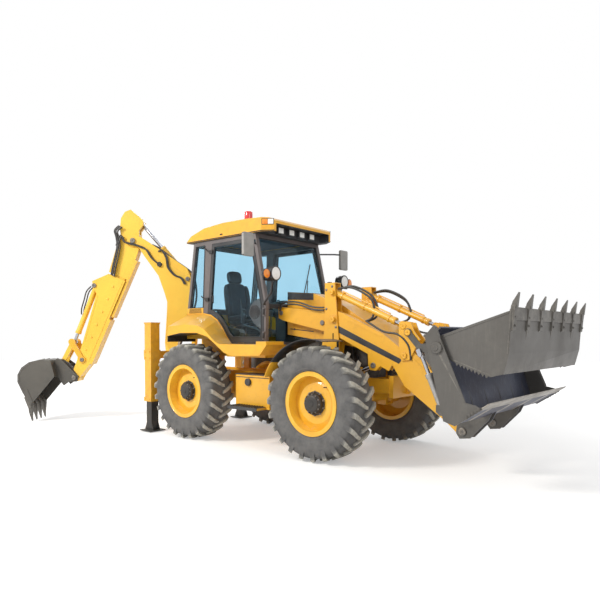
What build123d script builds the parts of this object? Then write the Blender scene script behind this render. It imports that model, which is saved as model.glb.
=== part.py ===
"""Backhoe loader with a clamshell loader bucket and an extending dipper.

Millimetres. X runs forward from the front axle, Y to the machine's left and Z up from the
ground. Sub-parts are drawn in that machine frame and are moved, as they are written, so that
the model's origin lies on the ground in the middle of the parked machine's plan.
"""
from math import atan2, cos, hypot, radians, sin
import os

from build123d import *

os.makedirs("parts", exist_ok=True)

# ---- driving dimensions -----------------------------------------------------------------
# Middle of the parked machine's plan, in the machine frame.
plan_centre_x = -1940
plan_centre_y = -410

# Clearances.
running_gap = 0.3           # round a pin, rod or guide
moving_gap = 6              # between parts that swing past each other
pin_radius = 30

# Wheels, axles and steering.
tyre_radius = 715
tyre_width = 430
rim_seat_radius = 356
rim_flange_radius = 392
rim_wall = 14
rim_width = 360
track = 1840
wheelbase = 2450
kingpin_inset = 200         # from the wheel's middle plane to the kingpin
spindle_radius = 85
hub_radius = 125
hub_reach = 150             # outer face of the hub, from the wheel's middle plane
axle_radius = 90
yoke_half_height = 150
yoke_plate = 30
guard_radius = 785
guard_sheet = 8
guard_start_angle = 75
guard_end_angle = 158

# Chassis.
rail_offset = 300           # middle of each rail, from the centre plane
rail_width = 80
rail_bottom = 830
rail_top = 1010
rail_front = 640
rail_rear = -3345
tow_eye_radius = 22
tow_eye_thickness = 36

# Loader arms and their towers.
arm_offset = 430
arm_thickness = 90
arm_pivot = (-100, 1760)
lever_pivot = (940, 1310)
lever_rod_pin = (930, 1660)
bucket_pin = (1670, 490)
link_pin_reach = (60, 275)  # from the lever's pivot, and from the bucket's pin
lift_base = (-520, 760)
lift_rod_pin = (500, 1180)
tower_plate = 15
tower_top = 2230

# Loader bucket.
bucket_half_width = 1230
bucket_plate = 16
clam_pivot = (1724, 1424)
clam_side_gap = 48            # between the clam's side and the bucket's outer face
clam_half_width = bucket_half_width - clam_side_gap
clam_lever_inset = 50
clam_lever_offset = clam_half_width - clam_lever_inset
clam_lever_end = (1480, 1420)
clam_base_pin = (1745, 800)
loader_tooth_count = 7

# Bonnet, cab and platform.
bonnet_half_width = 335
bonnet_sheet = 8
bonnet_hinge = (-975, 2112)
bonnet_pin_radius = 12
cab_half_width = 740         # at the sill
cab_sill = 1400
cab_top_half_width = 714     # at the underside of the roof
cab_top = 3000
cab_wall = 60
cab_front = -1088
cab_rear = -2810
cab_top_front = -1310
cab_top_rear = -2655
cab_floor_top = 1300
arch_top = 1500
arch_front = -1880
arch_inner = 440
roof_half_width = 745
platform_half_width = 1130
door_thickness = 40
door_axis_x = -1123          # hinge axis, at the front pillar
door_axis_stand = 14         # of the hinge axis, outside the cab's face
glass_thickness = 6

# Stabilisers and the carriage that shifts the backhoe sideways.
leg_x = -3380
leg_y = 1000
leg_outer = 170
leg_wall = 12
leg_inner = 134
leg_top = 1755
leg_bottom = 490
foot_size = 300
foot_thickness = 25
foot_rim_height = 15
foot_turn_up = 60
beam_depth = 120
beam_rear = -3465
upper_beam = (1180, 1300)
lower_beam = (485, 605)
carriage_half_width = 290

# Backhoe. Its own plane is swung away from the machine's centre plane.
kingpost_reach = 285         # behind the beams
kingpost_x = beam_rear - kingpost_reach
kingpost_y = 200
swing_angle = 40
boom_foot = (350, 800)
boom_half_width = 127
fork_half_gap = 102
boom_ram_base = (40, 1090)
boom_ram_rod_pin = (-20, 1950)
dipper_pivot = (1100, 3260)
dipper_ram_base = (110, 2570)
dipper_slope = 66.4         # below the horizontal
dipper_half_width = 95
slide_inner = 101
slide_outer = 122
# Along the dipper from its pivot, and square to it, away from the machine.
dipper_ram_rod_pin = (-355, 13)
bucket_ram_base = (1020, 330)
tipping_pivot = (2340, 0)
tipping_joint = (2120, 300)
digging_pin = (2693, 0)
hitch_pin = (2560, 330)
digging_half_width = 305
digging_tooth_count = 4
# ---- end of the driving dimensions --------------------------------------------------------

front_axle_x = 0
rear_axle_x = -wheelbase
wheel_y = track / 2
kingpin_y = wheel_y - kingpin_inset
tilt_base = (
    arm_pivot[0] + lever_rod_pin[0] - lever_pivot[0],
    arm_pivot[1] + lever_rod_pin[1] - lever_pivot[1],
)
lever_link_pin = (lever_pivot[0] + link_pin_reach[0], lever_pivot[1] + link_pin_reach[1])
bucket_link_pin = (bucket_pin[0] + link_pin_reach[0], bucket_pin[1] + link_pin_reach[1])

outward = Vector(-cos(radians(swing_angle)), -sin(radians(swing_angle)), 0)
across = Vector(-sin(radians(swing_angle)), cos(radians(swing_angle)), 0)
kingpost = Vector(kingpost_x, kingpost_y, 0)
down_dipper = outward * cos(radians(dipper_slope)) - Vector(0, 0, sin(radians(dipper_slope)))
dipper_origin = kingpost + outward * dipper_pivot[0] + Vector(0, 0, dipper_pivot[1])


# ---- drawing helpers ------------------------------------------------------------------------
def side_plane(y):
    """Vertical plane along the machine: local x is X and local y is Z."""
    return Plane(origin=(0, y, 0), x_dir=(1, 0, 0), z_dir=(0, -1, 0))


def swing_plane(offset=0):
    """Plane of the swung backhoe: local x is the reach from the kingpost, local y is Z."""
    return Plane(origin=kingpost + across * offset, x_dir=outward, z_dir=across)


def dipper_plane(offset=0):
    """The same plane with its origin at the dipper's pivot and local x down the dipper."""
    return Plane(origin=dipper_origin + across * offset, x_dir=down_dipper, z_dir=across)


def slab(plane, points, thickness, mode=Mode.ADD):
    """Flat plate of the given outline, centred on the plane."""
    with BuildSketch(plane) as outline:
        with BuildLine():
            Polyline(*points, close=True)
        make_face()
    extrude(outline.sketch, amount=thickness / 2, both=True, mode=mode)


def disc(plane, centre, radius, thickness, mode=Mode.ADD):
    """Round pin or boss across the plane, centred on it."""
    with BuildSketch(plane) as outline:
        with Locations(centre):
            Circle(radius)
    extrude(outline.sketch, amount=thickness / 2, both=True, mode=mode)


def block(x_range, y_range, z_range, mode=Mode.ADD):
    """Rectangular block between the given limits."""
    middle = [(low + high) / 2 for low, high in (x_range, y_range, z_range)]
    with Locations(tuple(middle)):
        Box(
            abs(x_range[1] - x_range[0]),
            abs(y_range[1] - y_range[0]),
            abs(z_range[1] - z_range[0]),
            mode=mode,
        )


def rod(start, end, radius, mode=Mode.ADD):
    """Round bar between two points."""
    start, end = Vector(*start), Vector(*end)
    with BuildSketch(Plane(origin=start, z_dir=end - start)) as outline:
        Circle(radius)
    extrude(outline.sketch, amount=(end - start).length, mode=mode)


def bent_rod(points, radius):
    """Round bar along a chain of points, with a ball at each bend."""
    for start, end in zip(points, points[1:]):
        rod(start, end, radius)
    for corner in points[1:-1]:
        with Locations(corner):
            Sphere(radius)


def ram_barrel(plane, base, tip, length, radius, rod_radius, eye_radius, eye_width):
    """Hydraulic barrel from its base eye towards the tip, bored for its rod."""
    start = plane.from_local_coords((base[0], base[1], 0))
    end = plane.from_local_coords((tip[0], tip[1], 0))
    axis = Plane(origin=start, z_dir=end - start)
    with BuildSketch(axis.offset(eye_radius * 0.6)) as body:
        Circle(radius)
    extrude(body.sketch, amount=length - eye_radius * 0.6)
    with BuildSketch(axis.offset(length - 45)) as gland:
        Circle(radius + 6)
    extrude(gland.sketch, amount=45)
    disc(plane, base, eye_radius, eye_width)
    with BuildSketch(axis.offset(eye_radius + 12)) as bore:
        Circle(rod_radius + running_gap)
    extrude(bore.sketch, amount=length, mode=Mode.SUBTRACT)
    disc(plane, base, pin_radius + running_gap, eye_width + 2, Mode.SUBTRACT)


def ram_rod(plane, base, eye, length, rod_radius, eye_radius, eye_width):
    """Piston rod that ends in an eye; it runs back from the eye towards the barrel's base."""
    start = plane.from_local_coords((eye[0], eye[1], 0))
    end = plane.from_local_coords((base[0], base[1], 0))
    with BuildSketch(Plane(origin=start, z_dir=end - start)) as body:
        Circle(rod_radius)
    extrude(body.sketch, amount=length)
    disc(plane, eye, eye_radius, eye_width)


def write_piece(piece, name):
    """Label a finished sub-part and write it, moved to the parked machine's origin."""
    shift = Location((-plan_centre_x, -plan_centre_y, 0))
    solid = piece.part.moved(shift)
    solid.label = name
    piece.part.label = name
    export_step(solid, f"parts/{name}.step")


def middle_of(low, high):
    """Middle of a range."""
    return (low + high) / 2


# ---- chassis --------------------------------------------------------------------------------
with BuildPart() as chassis_frame:
    for side in (-1, 1):
        inner = side * (rail_offset - rail_width / 2)
        outer = side * (rail_offset + rail_width / 2)
        block((rail_rear, rail_front), (inner, outer), (rail_bottom, rail_top))
        # Saddles that carry the axles under the rails.
        for axle_x in (front_axle_x, rear_axle_x):
            block((axle_x - 110, axle_x + 110), (inner, outer),
                  (tyre_radius + axle_radius, rail_bottom))
    for cross_x in (rail_front - 40, -700, -1500, -3000, rail_rear + 40):
        block((cross_x - 40, cross_x + 40), (-rail_offset, rail_offset),
              (rail_bottom + 20, rail_top - 20))
    # Gearbox and belly pan between the axles.
    slab(side_plane(0), [(-1850, rail_bottom + 40), (-1850, 560), (-1650, 480), (-900, 480),
                         (-700, 600), (-700, rail_bottom + 40)], 2 * rail_offset - 160)
    # Propeller shafts to the two axles.
    rod((-700, 0, 700), (front_axle_x - 192, 0, tyre_radius), 40)
    rod((-1850, 0, 700), (rear_axle_x + 192, 0, tyre_radius), 40)
    # Front cross plate with the towing eye.
    block((rail_front, rail_front + 60), (-330, 330), (rail_bottom - 60, rail_top + 40))
    slab(side_plane(0), [(rail_front + 60, 800), (rail_front + 60, 920), (rail_front + 120, 910),
                         (rail_front + 150, 860), (rail_front + 120, 810)], tow_eye_thickness)
    disc(side_plane(0), (rail_front + 105, 860), tow_eye_radius, tow_eye_thickness + 2,
         Mode.SUBTRACT)
write_piece(chassis_frame, "chassis_frame")

with BuildPart() as engine_block:
    block((-850, 250), (-230, 230), (rail_top - 20, 1480))
write_piece(engine_block, "engine_block")

with BuildPart() as axles:
    for axle_x in (front_axle_x, rear_axle_x):
        yoke_inner = kingpin_y - 150
        rod((axle_x, -yoke_inner, tyre_radius), (axle_x, yoke_inner, tyre_radius), axle_radius)
        with Locations((axle_x, 0, tyre_radius)):
            Sphere(190)
        for side in (-1, 1):
            # C-shaped yoke that holds the kingpin above and below the knuckle.
            block((axle_x - 70, axle_x + 70),
                  (side * (yoke_inner - 40), side * yoke_inner),
                  (tyre_radius - yoke_half_height, tyre_radius + yoke_half_height))
            for end in (-1, 1):
                low = tyre_radius + end * (yoke_half_height - yoke_plate)
                high = tyre_radius + end * yoke_half_height
                block((axle_x - 60, axle_x + 60), (side * yoke_inner, side * kingpin_y),
                      (low, high))
                rod((axle_x, side * kingpin_y, low), (axle_x, side * kingpin_y, high), 60)
write_piece(axles, "axles")

# ---- wheels, one set at each corner ------------------------------------------------------------
# Columns: name, axle position, side (left is +1), front wheel.
corners = [
    ("front_left", front_axle_x, 1, True),
    ("front_right", front_axle_x, -1, True),
    ("rear_left", rear_axle_x, 1, False),
    ("rear_right", rear_axle_x, -1, False),
]

shoulder = tyre_width / 2
tyre_inner = rim_seat_radius + running_gap
for corner, axle_x, side, is_front in corners:
    wheel_centre = Vector(axle_x, side * wheel_y, tyre_radius)
    # Section plane: local x is the radius, local y the distance outwards from the middle plane.
    section = Plane(origin=wheel_centre, x_dir=(1, 0, 0), z_dir=(0, 0, side))
    axis = Axis(wheel_centre, (0, 1, 0))

    with BuildPart() as tyre:
        with BuildSketch(section) as carcass:
            with BuildLine():
                bead = rim_width / 2 - rim_wall
                Line((tyre_inner, -bead), (tyre_inner, bead))
                Line((tyre_inner, bead), (rim_flange_radius + 6, bead))
                ThreePointArc((rim_flange_radius + 6, bead),
                              (middle_of(rim_flange_radius, tyre_radius), shoulder),
                              (tyre_radius - 42, shoulder - 18))
                ThreePointArc((tyre_radius - 42, shoulder - 18), (tyre_radius, 0),
                              (tyre_radius - 42, 18 - shoulder))
                ThreePointArc((tyre_radius - 42, 18 - shoulder),
                              (middle_of(rim_flange_radius, tyre_radius), -shoulder),
                              (rim_flange_radius + 6, -bead))
                Line((rim_flange_radius + 6, -bead), (tyre_inner, -bead))
            make_face()
        revolve(carcass.sketch, axis)
    write_piece(tyre, f"tyre_{corner}")

    with BuildPart() as rim:
        with BuildSketch(section) as barrel:
            with BuildLine():
                seat, edge = rim_seat_radius, rim_width / 2
                Polyline((seat - rim_wall, -edge), (rim_flange_radius, -edge),
                         (rim_flange_radius, -edge + rim_wall - running_gap),
                         (seat, -edge + rim_wall - running_gap),
                         (seat, edge - rim_wall + running_gap),
                         (rim_flange_radius, edge - rim_wall + running_gap),
                         (rim_flange_radius, edge), (seat - rim_wall, edge),
                         (seat - rim_wall, 40), (250, 75), (hub_radius, 75),
                         (hub_radius, hub_reach - 25), (hub_radius - 25, hub_reach),
                         (0, hub_reach), (0, 45), (spindle_radius + running_gap, 45),
                         (spindle_radius + running_gap, -60), (hub_radius - 5, -60),
                         (hub_radius - 5, 57), (245, 57), (seat - rim_wall, 22), close=True)
            make_face()
        revolve(barrel.sketch, axis)
    write_piece(rim, f"rim_{corner}")

    with BuildPart() as knuckle:
        kingpin = Vector(axle_x, side * kingpin_y, tyre_radius)
        half = yoke_half_height - yoke_plate - running_gap
        rod(kingpin - Vector(0, 0, half), kingpin + Vector(0, 0, half), 62)
        rod(kingpin, wheel_centre + Vector(0, side * 44, 0), spindle_radius)
        rod(kingpin + Vector(0, side * 100, 0), kingpin + Vector(0, side * 130, 0), 140)
        if is_front:
            # Mudguard that turns with the wheel, on a stay in front of the axle's yoke.
            stay_y = wheel_centre.Y - side * (shoulder + 20)
            stay_x = (axle_x + 95, axle_x + 125)
            block((axle_x, stay_x[1]), (kingpin.Y - 12, kingpin.Y + 12),
                  (tyre_radius + 30, tyre_radius + 100))
            block(stay_x, (stay_y, kingpin.Y + side * 12),
                  (tyre_radius + 30, tyre_radius + 100))
            block(stay_x, (stay_y - 6, stay_y + 6),
                  (tyre_radius + 30, tyre_radius + guard_radius - 14))
            with BuildSketch(side_plane(wheel_centre.Y)) as guard:
                with BuildLine():
                    outer_radius = guard_radius + guard_sheet
                    sweep = guard_end_angle - guard_start_angle
                    centre = (axle_x, tyre_radius)
                    inner_arc = CenterArc(centre, guard_radius, guard_start_angle, sweep)
                    outer_arc = CenterArc(centre, outer_radius, guard_start_angle, sweep)
                    Line(inner_arc @ 0, outer_arc @ 0)
                    Line(inner_arc @ 1, outer_arc @ 1)
                make_face()
            extrude(guard.sketch, amount=shoulder + 5, both=True)
            guard_reach = shoulder + 5
            block(stay_x, (stay_y - 6, wheel_centre.Y + side * (guard_reach - 30)),
                  (tyre_radius + guard_radius - 24, tyre_radius + guard_radius - 6))
    write_piece(knuckle, f"knuckle_{corner}")

# ---- loader towers and arms -----------------------------------------------------------------
inner_plate = arm_offset - arm_thickness / 2 - moving_gap - tower_plate / 2
outer_plate = arm_offset + arm_thickness / 2 + moving_gap + tower_plate / 2
tower_outline = [(-240, tower_top), (-80, tower_top), (-10, 1430), (-70, 1010), (-160, 700),
                 (-600, 680), (-600, 850), (-420, 1010), (-290, 1400), (-240, 1650)]
with BuildPart() as loader_towers:
    for side in (-1, 1):
        for plate_y in (inner_plate, outer_plate):
            slab(side_plane(side * plate_y), tower_outline, tower_plate)
        inside = outer_plate - inner_plate - tower_plate + 2
        plane = side_plane(side * arm_offset)
        # Rear web of the tower, clear of the arm's heel and the tilt ram.
        slab(plane, [(-240, tower_top - 60), (-228, tower_top - 60), (-228, 1650),
                     (-278, 1400), (-290, 1400), (-240, 1650)], inside)
        slab(plane, [(-290, 1400), (-278, 1400), (-408, 1010), (-420, 1010)], inside)
        for centre in (arm_pivot, tilt_base, lift_base):
            disc(plane, centre, pin_radius, 2 * (outer_plate - arm_offset) + tower_plate + 30)
            disc(side_plane(side * (outer_plate + tower_plate / 2 + 6)), centre, 45, 12)
        # Brace back to the front of the cab.
        slab(side_plane(side * (arm_offset + 20)),
             [(cab_front + running_gap, 1960), (-240, 1865), (-235, 1600), (-1010, 1765),
              (cab_front + running_gap, 1800)], 40)
        # Foot of the tower on the chassis rail.
        block((-580, -180), (side * (rail_offset + rail_width / 2),
                             side * (inner_plate + tower_plate / 2)), (850, 1000))
write_piece(loader_towers, "loader_towers")

arm_outline = [(-60, 1870), (40, 1835), (640, 1570), (880, 1400), (1000, 1400), (1250, 1190),
               (1560, 790), (1720, 545), (1725, 440), (1640, 425), (1480, 565), (940, 945),
               (780, 1180), (420, 1320), (-30, 1530), (-150, 1660)]
bracket_outline = [(420, 1330), (425, 1180), (455, 1120), (540, 1115), (600, 1175),
                   (720, 1120), (790, 1230)]
bracket_plate = 14
bracket_y = arm_thickness / 2 - bracket_plate / 2
with BuildPart() as loader_arms:
    for side in (-1, 1):
        plane = side_plane(side * arm_offset)
        slab(plane, arm_outline, arm_thickness)
        disc(plane, arm_pivot, 110, arm_thickness)
        disc(plane, bucket_pin, 72, arm_thickness)
        for step in (-bracket_y, bracket_y):
            slab(side_plane(side * arm_offset + step), bracket_outline, bracket_plate)
        # Room for the rod's eye under the arm.
        slab(plane, [(380, 1290), (640, 1240), (640, 1100), (380, 1100)],
             arm_thickness - 2 * bracket_plate, Mode.SUBTRACT)
        for centre in (arm_pivot, bucket_pin, lever_pivot):
            disc(plane, centre, pin_radius + running_gap, arm_thickness + 2, Mode.SUBTRACT)
    rod((1230, -arm_offset, 960), (1230, arm_offset, 960), 75)
write_piece(loader_arms, "loader_arms")

lift_length = hypot(lift_rod_pin[0] - lift_base[0], lift_rod_pin[1] - lift_base[1])
tilt_length = hypot(lever_rod_pin[0] - tilt_base[0], lever_rod_pin[1] - tilt_base[1])
lift_barrel_length = 900
tilt_barrel_length = 985
# Columns: name, base, rod pin, barrel length, rod length, barrel radius, rod radius.
loader_rams = [
    ("lift", lift_base, lift_rod_pin, lift_barrel_length, lift_length - 205, 46, 28),
    ("tilt", tilt_base, lever_rod_pin, tilt_barrel_length, tilt_length - 160, 42, 26),
]
for name, base, tip, barrel_length, rod_length, radius, rod_radius in loader_rams:
    with BuildPart() as barrels:
        for side in (-1, 1):
            ram_barrel(side_plane(side * arm_offset), base, tip, barrel_length, radius,
                       rod_radius, 52, 84)
    write_piece(barrels, f"{name}_barrels")
    with BuildPart() as rods:
        for side in (-1, 1):
            ram_rod(side_plane(side * arm_offset), base, tip, rod_length, rod_radius, 42, 44)
    write_piece(rods, f"{name}_rods")

# Levers straddle the arms, and links straddle the levers and the bucket's lugs.
lever_plate = 16
lever_y = arm_thickness / 2 + moving_gap + lever_plate / 2
link_plate = 16
link_y = lever_y + lever_plate / 2 + moving_gap + link_plate / 2
lever_outline = [(870, 1700), (900, 1722), (1030, 1700), (1070, 1600), (1150, 1500),
                 (1010, 1260), (905, 1250), (870, 1440)]
with BuildPart() as tilt_levers:
    for side in (-1, 1):
        for step in (-lever_y, lever_y):
            plane = side_plane(side * arm_offset + step)
            slab(plane, lever_outline, lever_plate)
            # Stub that carries the link outside the lever.
            stub = step + (1 if step > 0 else -1) * (link_y - lever_y) / 2
            disc(side_plane(side * arm_offset + stub), lever_link_pin, pin_radius,
                 link_y - lever_y + lever_plate + 4)
        disc(side_plane(side * arm_offset), lever_pivot, pin_radius,
             2 * (lever_y + lever_plate / 2) + 10)
write_piece(tilt_levers, "tilt_levers")

link_run = Vector(bucket_link_pin[0] - lever_link_pin[0], bucket_link_pin[1] - lever_link_pin[1])
link_half_depth = 36
link_side = link_run.normalized().rotate(Axis.Z, 90) * link_half_depth
with BuildPart() as tilt_links:
    for side in (-1, 1):
        for step in (-link_y, link_y):
            plane = side_plane(side * arm_offset + step)
            start, end = Vector(*lever_link_pin), Vector(*bucket_link_pin)
            corners_of_link = [start + link_side, end + link_side, end - link_side,
                               start - link_side]
            slab(plane, [(point.X, point.Y) for point in corners_of_link], link_plate)
            disc(plane, lever_link_pin, 48, link_plate)
            disc(plane, bucket_link_pin, 48, link_plate)
            disc(plane, lever_link_pin, pin_radius + running_gap, link_plate + 2,
                 Mode.SUBTRACT)
            disc(plane, bucket_link_pin, pin_radius + moving_gap, link_plate + 2,
                 Mode.SUBTRACT)
write_piece(tilt_links, "tilt_links")

# ---- loader bucket: fixed back section and clam ------------------------------------------------
# Back plate from its top edge down and round into the floor and the fixed blade.
back_line = [(1600, 1560), (1838, 755), (1925, 690), (2187, 862)]
post_outline = [(1690, 1653), (1592, 1543), (1800, 700), (1919, 664), (2187, 845),
                (2119, 880), (2019, 899), (1712, 1633)]
lug_outline = [(1660, 900), (1805, 820), (1850, 735), (1925, 700), (2010, 750), (1960, 640),
               (1760, 425), (1640, 408), (1595, 470), (1620, 640), (1690, 790)]
slot_width = 60
with BuildPart() as loader_bucket:
    with BuildSketch(side_plane(0)) as shell:
        with BuildLine() as run:
            Polyline(*back_line)
        trace(run.line, bucket_plate)
    extrude(shell.sketch, amount=bucket_half_width, both=True)
    # Folded top edge of the back plate.
    slab(side_plane(0), [(1592, 1543), (1690, 1640), (1705, 1626), (1612, 1530)],
         2 * bucket_half_width)
    for side in (-1, 1):
        slab(side_plane(side * (bucket_half_width - 14)), post_outline, 28)
        for offset_y in (-lever_y, lever_y):
            plane = side_plane(side * arm_offset + offset_y)
            slab(plane, lug_outline, lever_plate)
            stub = arm_offset * side + (1 if offset_y > 0 else -1) * middle_of(lever_y, link_y)
            disc(side_plane(stub), bucket_link_pin, pin_radius,
                 link_y - lever_y + lever_plate + 8)
        disc(side_plane(side * arm_offset), bucket_pin, pin_radius,
             2 * (lever_y + lever_plate / 2) + 10)
        # Slot in the back plate for the clam's lever.
        slab(side_plane(side * clam_lever_offset),
             [(1560, 1230), (1730, 1230), (1730, 1700), (1560, 1700)], slot_width,
             Mode.SUBTRACT)
        disc(side_plane(side * middle_of(clam_half_width, bucket_half_width)), clam_pivot,
             pin_radius, bucket_half_width - clam_half_width + 40)
        disc(side_plane(side * (bucket_half_width + 8)), clam_pivot, 48, 16)
        # Lug behind the back plate for the clam ram.
        for offset_y in (-50, 50):
            slab(side_plane(side * clam_lever_offset + offset_y),
                 [(1700, 850), (1815, 850), (1840, 750), (1740, 745), (1700, 780)], 14)
        disc(side_plane(side * clam_lever_offset), clam_base_pin, pin_radius, 114)
write_piece(loader_bucket, "loader_bucket")

clam_line = [(2364, 1187), (2412, 1380), (2440, 1811)]
clam_side = [(1700, 1490), (1755, 1553), (2420, 1775), (2440, 1811), (2412, 1380),
             (2364, 1187), (2251, 1155), (1873, 1289), (1760, 1360), (1690, 1400)]
with BuildPart() as clam_bucket:
    with BuildSketch(side_plane(0)) as shell:
        with BuildLine() as run:
            Polyline(*clam_line)
        trace(run.line, bucket_plate)
    extrude(shell.sketch, amount=clam_half_width, both=True)
    for side in (-1, 1):
        slab(side_plane(side * (clam_half_width - 10)), clam_side, 20)
        # Lever that reaches back through the slot to the ram.
        slab(side_plane(side * clam_lever_offset),
             [(1724, 1475), (1480, 1462), (1445, 1420), (1480, 1378), (1724, 1375)], 30)
        disc(side_plane(side * middle_of(clam_lever_offset - 15, clam_half_width)), clam_pivot,
             58, clam_half_width - clam_lever_offset + 15)
        disc(side_plane(side * clam_half_width), clam_pivot, pin_radius + running_gap, 240,
             Mode.SUBTRACT)
    tooth_pitch = 2 * (clam_half_width - 40) / (loader_tooth_count - 1)
    for index in range(loader_tooth_count):
        tooth_y = -clam_half_width + 40 + index * tooth_pitch
        slab(side_plane(tooth_y), [(2415, 1700), (2457, 1700), (2470, 1820), (2489, 1935),
                                   (2440, 1860), (2424, 1800)], 45)
write_piece(clam_bucket, "clam_bucket")

clam_ram_tip = (clam_lever_end[0] + 2, clam_lever_end[1] - 14)
clam_barrel_length = 388
clam_rod_length = 420
with BuildPart() as clam_barrels:
    for side in (-1, 1):
        plane = side_plane(side * clam_lever_offset)
        ram_barrel(plane, clam_base_pin, clam_ram_tip, clam_barrel_length, 34, 20, 38, 76)
write_piece(clam_barrels, "clam_barrels")
with BuildPart() as clam_rods:
    for side in (-1, 1):
        # The rod ends in a fork that straddles the clam's lever.
        plane = side_plane(side * clam_lever_offset)
        ram_rod(plane, clam_base_pin, clam_ram_tip, clam_rod_length, 20, 10, 20)
        run = Vector(clam_base_pin[0] - clam_ram_tip[0], clam_base_pin[1] - clam_ram_tip[1])
        neck = Vector(*clam_ram_tip) + run.normalized() * 66
        disc(plane, (neck.X, neck.Y), 18, 74)
        for offset_y in (-29, 29):
            cheek = side_plane(side * clam_lever_offset + offset_y)
            normal = run.normalized().rotate(Axis.Z, 90) * 22
            tip = Vector(*clam_ram_tip)
            cheek_points = [tip + normal, neck + normal, neck - normal, tip - normal]
            slab(cheek, [(point.X, point.Y) for point in cheek_points], 16)
        disc(plane, clam_ram_tip, 30, 42, Mode.SUBTRACT)
        slab(plane, [(1400, 1330), (1560, 1330), (1560, 1560), (1400, 1560)], 42,
             Mode.SUBTRACT)
write_piece(clam_rods, "clam_rods")

# ---- bonnet and nose ---------------------------------------------------------------------------
bonnet_top = [(-1036, 2168), (-1000, 2165), (-556, 2129), (-55, 1945), (347, 1700), (640, 1450)]
bonnet_ear = 12
bonnet_ear_y = 270
hinge_plate = 20
hinge_plate_y = 250
with BuildPart() as bonnet:
    outline = bonnet_top + [(640, 1330), (-1036, 1565)]
    slab(side_plane(0), outline, 2 * bonnet_half_width)
    inner_outline = [(-1046, 2168 - 20), (-560, 2129 - 20), (-65, 1945 - 20),
                     (335, 1700 - 20), (640 - bonnet_sheet, 1430), (640 - bonnet_sheet, 1300),
                     (-1046, 1500)]
    slab(side_plane(0), inner_outline, 2 * (bonnet_half_width - bonnet_sheet), Mode.SUBTRACT)
    # Ears that hang from the top sheet on the hinge's pins.
    for ear_side in (-1, 1):
        plane = side_plane(ear_side * bonnet_ear_y)
        slab(plane, [(-1004, bonnet_hinge[1]), (-1004, 2155), (-946, 2150),
                     (-946, bonnet_hinge[1])], bonnet_ear)
        disc(plane, bonnet_hinge, 29, bonnet_ear)
        disc(plane, bonnet_hinge, bonnet_pin_radius + running_gap, bonnet_ear + 2,
             Mode.SUBTRACT)
write_piece(bonnet, "bonnet")

with BuildPart() as radiator_grille:
    grille_x = 655
    block((grille_x, grille_x + 30), (-bonnet_half_width, bonnet_half_width), (1050, 1420))
    block((grille_x - 60, grille_x), (-bonnet_half_width + 40, bonnet_half_width - 40),
          (1052, 1300))
write_piece(radiator_grille, "radiator_grille")

# ---- platform, tanks and cab ---------------------------------------------------------------------
cab_lean = atan2(cab_half_width - cab_top_half_width, cab_top - cab_sill)


def cab_side_plane(side, depth):
    """Plane of a leaning cab side, this deep inside its outer face; local y runs up it."""
    inward = Vector(0, -side * cos(cab_lean), -sin(cab_lean))
    return Plane(origin=Vector(0, side * cab_half_width, cab_sill) + inward * depth,
                 x_dir=(1, 0, 0), z_dir=(0, -cos(cab_lean), -side * sin(cab_lean)))


def up_the_side(points):
    """Outline in X and Z, laid on the leaning side."""
    return [(x, (z - cab_sill) / cos(cab_lean)) for x, z in points]


def cab_half_at(z):
    """Half the cab's width inside its walls at a height."""
    return cab_half_width - (cab_wall + (z - cab_sill) * sin(cab_lean)) / cos(cab_lean)


def cross_sheet(bottom, top, thickness, gap=0):
    """Sheet across the cab between two points in X and Z, short of each wall by the gap."""
    rise = Vector(top[0] - bottom[0], 0, top[1] - bottom[1])
    low, high = cab_half_at(bottom[1]) - gap, cab_half_at(top[1]) - gap
    plane = Plane(origin=(bottom[0], 0, bottom[1]), x_dir=(0, 1, 0),
                  z_dir=Vector(0, 1, 0).cross(rise))
    length = rise.length
    slab(plane, [(-low, 0), (low, 0), (high, length), (-high, length)], thickness)


# Sections through the fender and platform, beside the cab and at the outer side: the underside
# from the rear to the front, then the top from the front to the rear.
fender_inside = [(-2800, 1545), (-2486, 1580), (-2107, 1570), (-1930, 1470), (-1800, 1370),
                 (-1600, 1300), (-1370, 1270), (-830, 1285),
                 (-700, 1430), (-1300, 1430), (-1765, 1430), (-1870, 1520), (-1965, 1645),
                 (-2090, 1772), (-2235, 1850), (-2400, 1880), (-2780, 1880)]
fender_outside = [(-2800, 1545), (-2486, 1590), (-2107, 1589), (-1867, 1534), (-1682, 1420),
                  (-1524, 1316), (-1370, 1270), (-830, 1285),
                  (-700, 1430), (-1300, 1430), (-1608, 1430), (-1715, 1467), (-1822, 1552),
                  (-1950, 1647), (-2107, 1700), (-2400, 1715), (-2785, 1690)]
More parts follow.
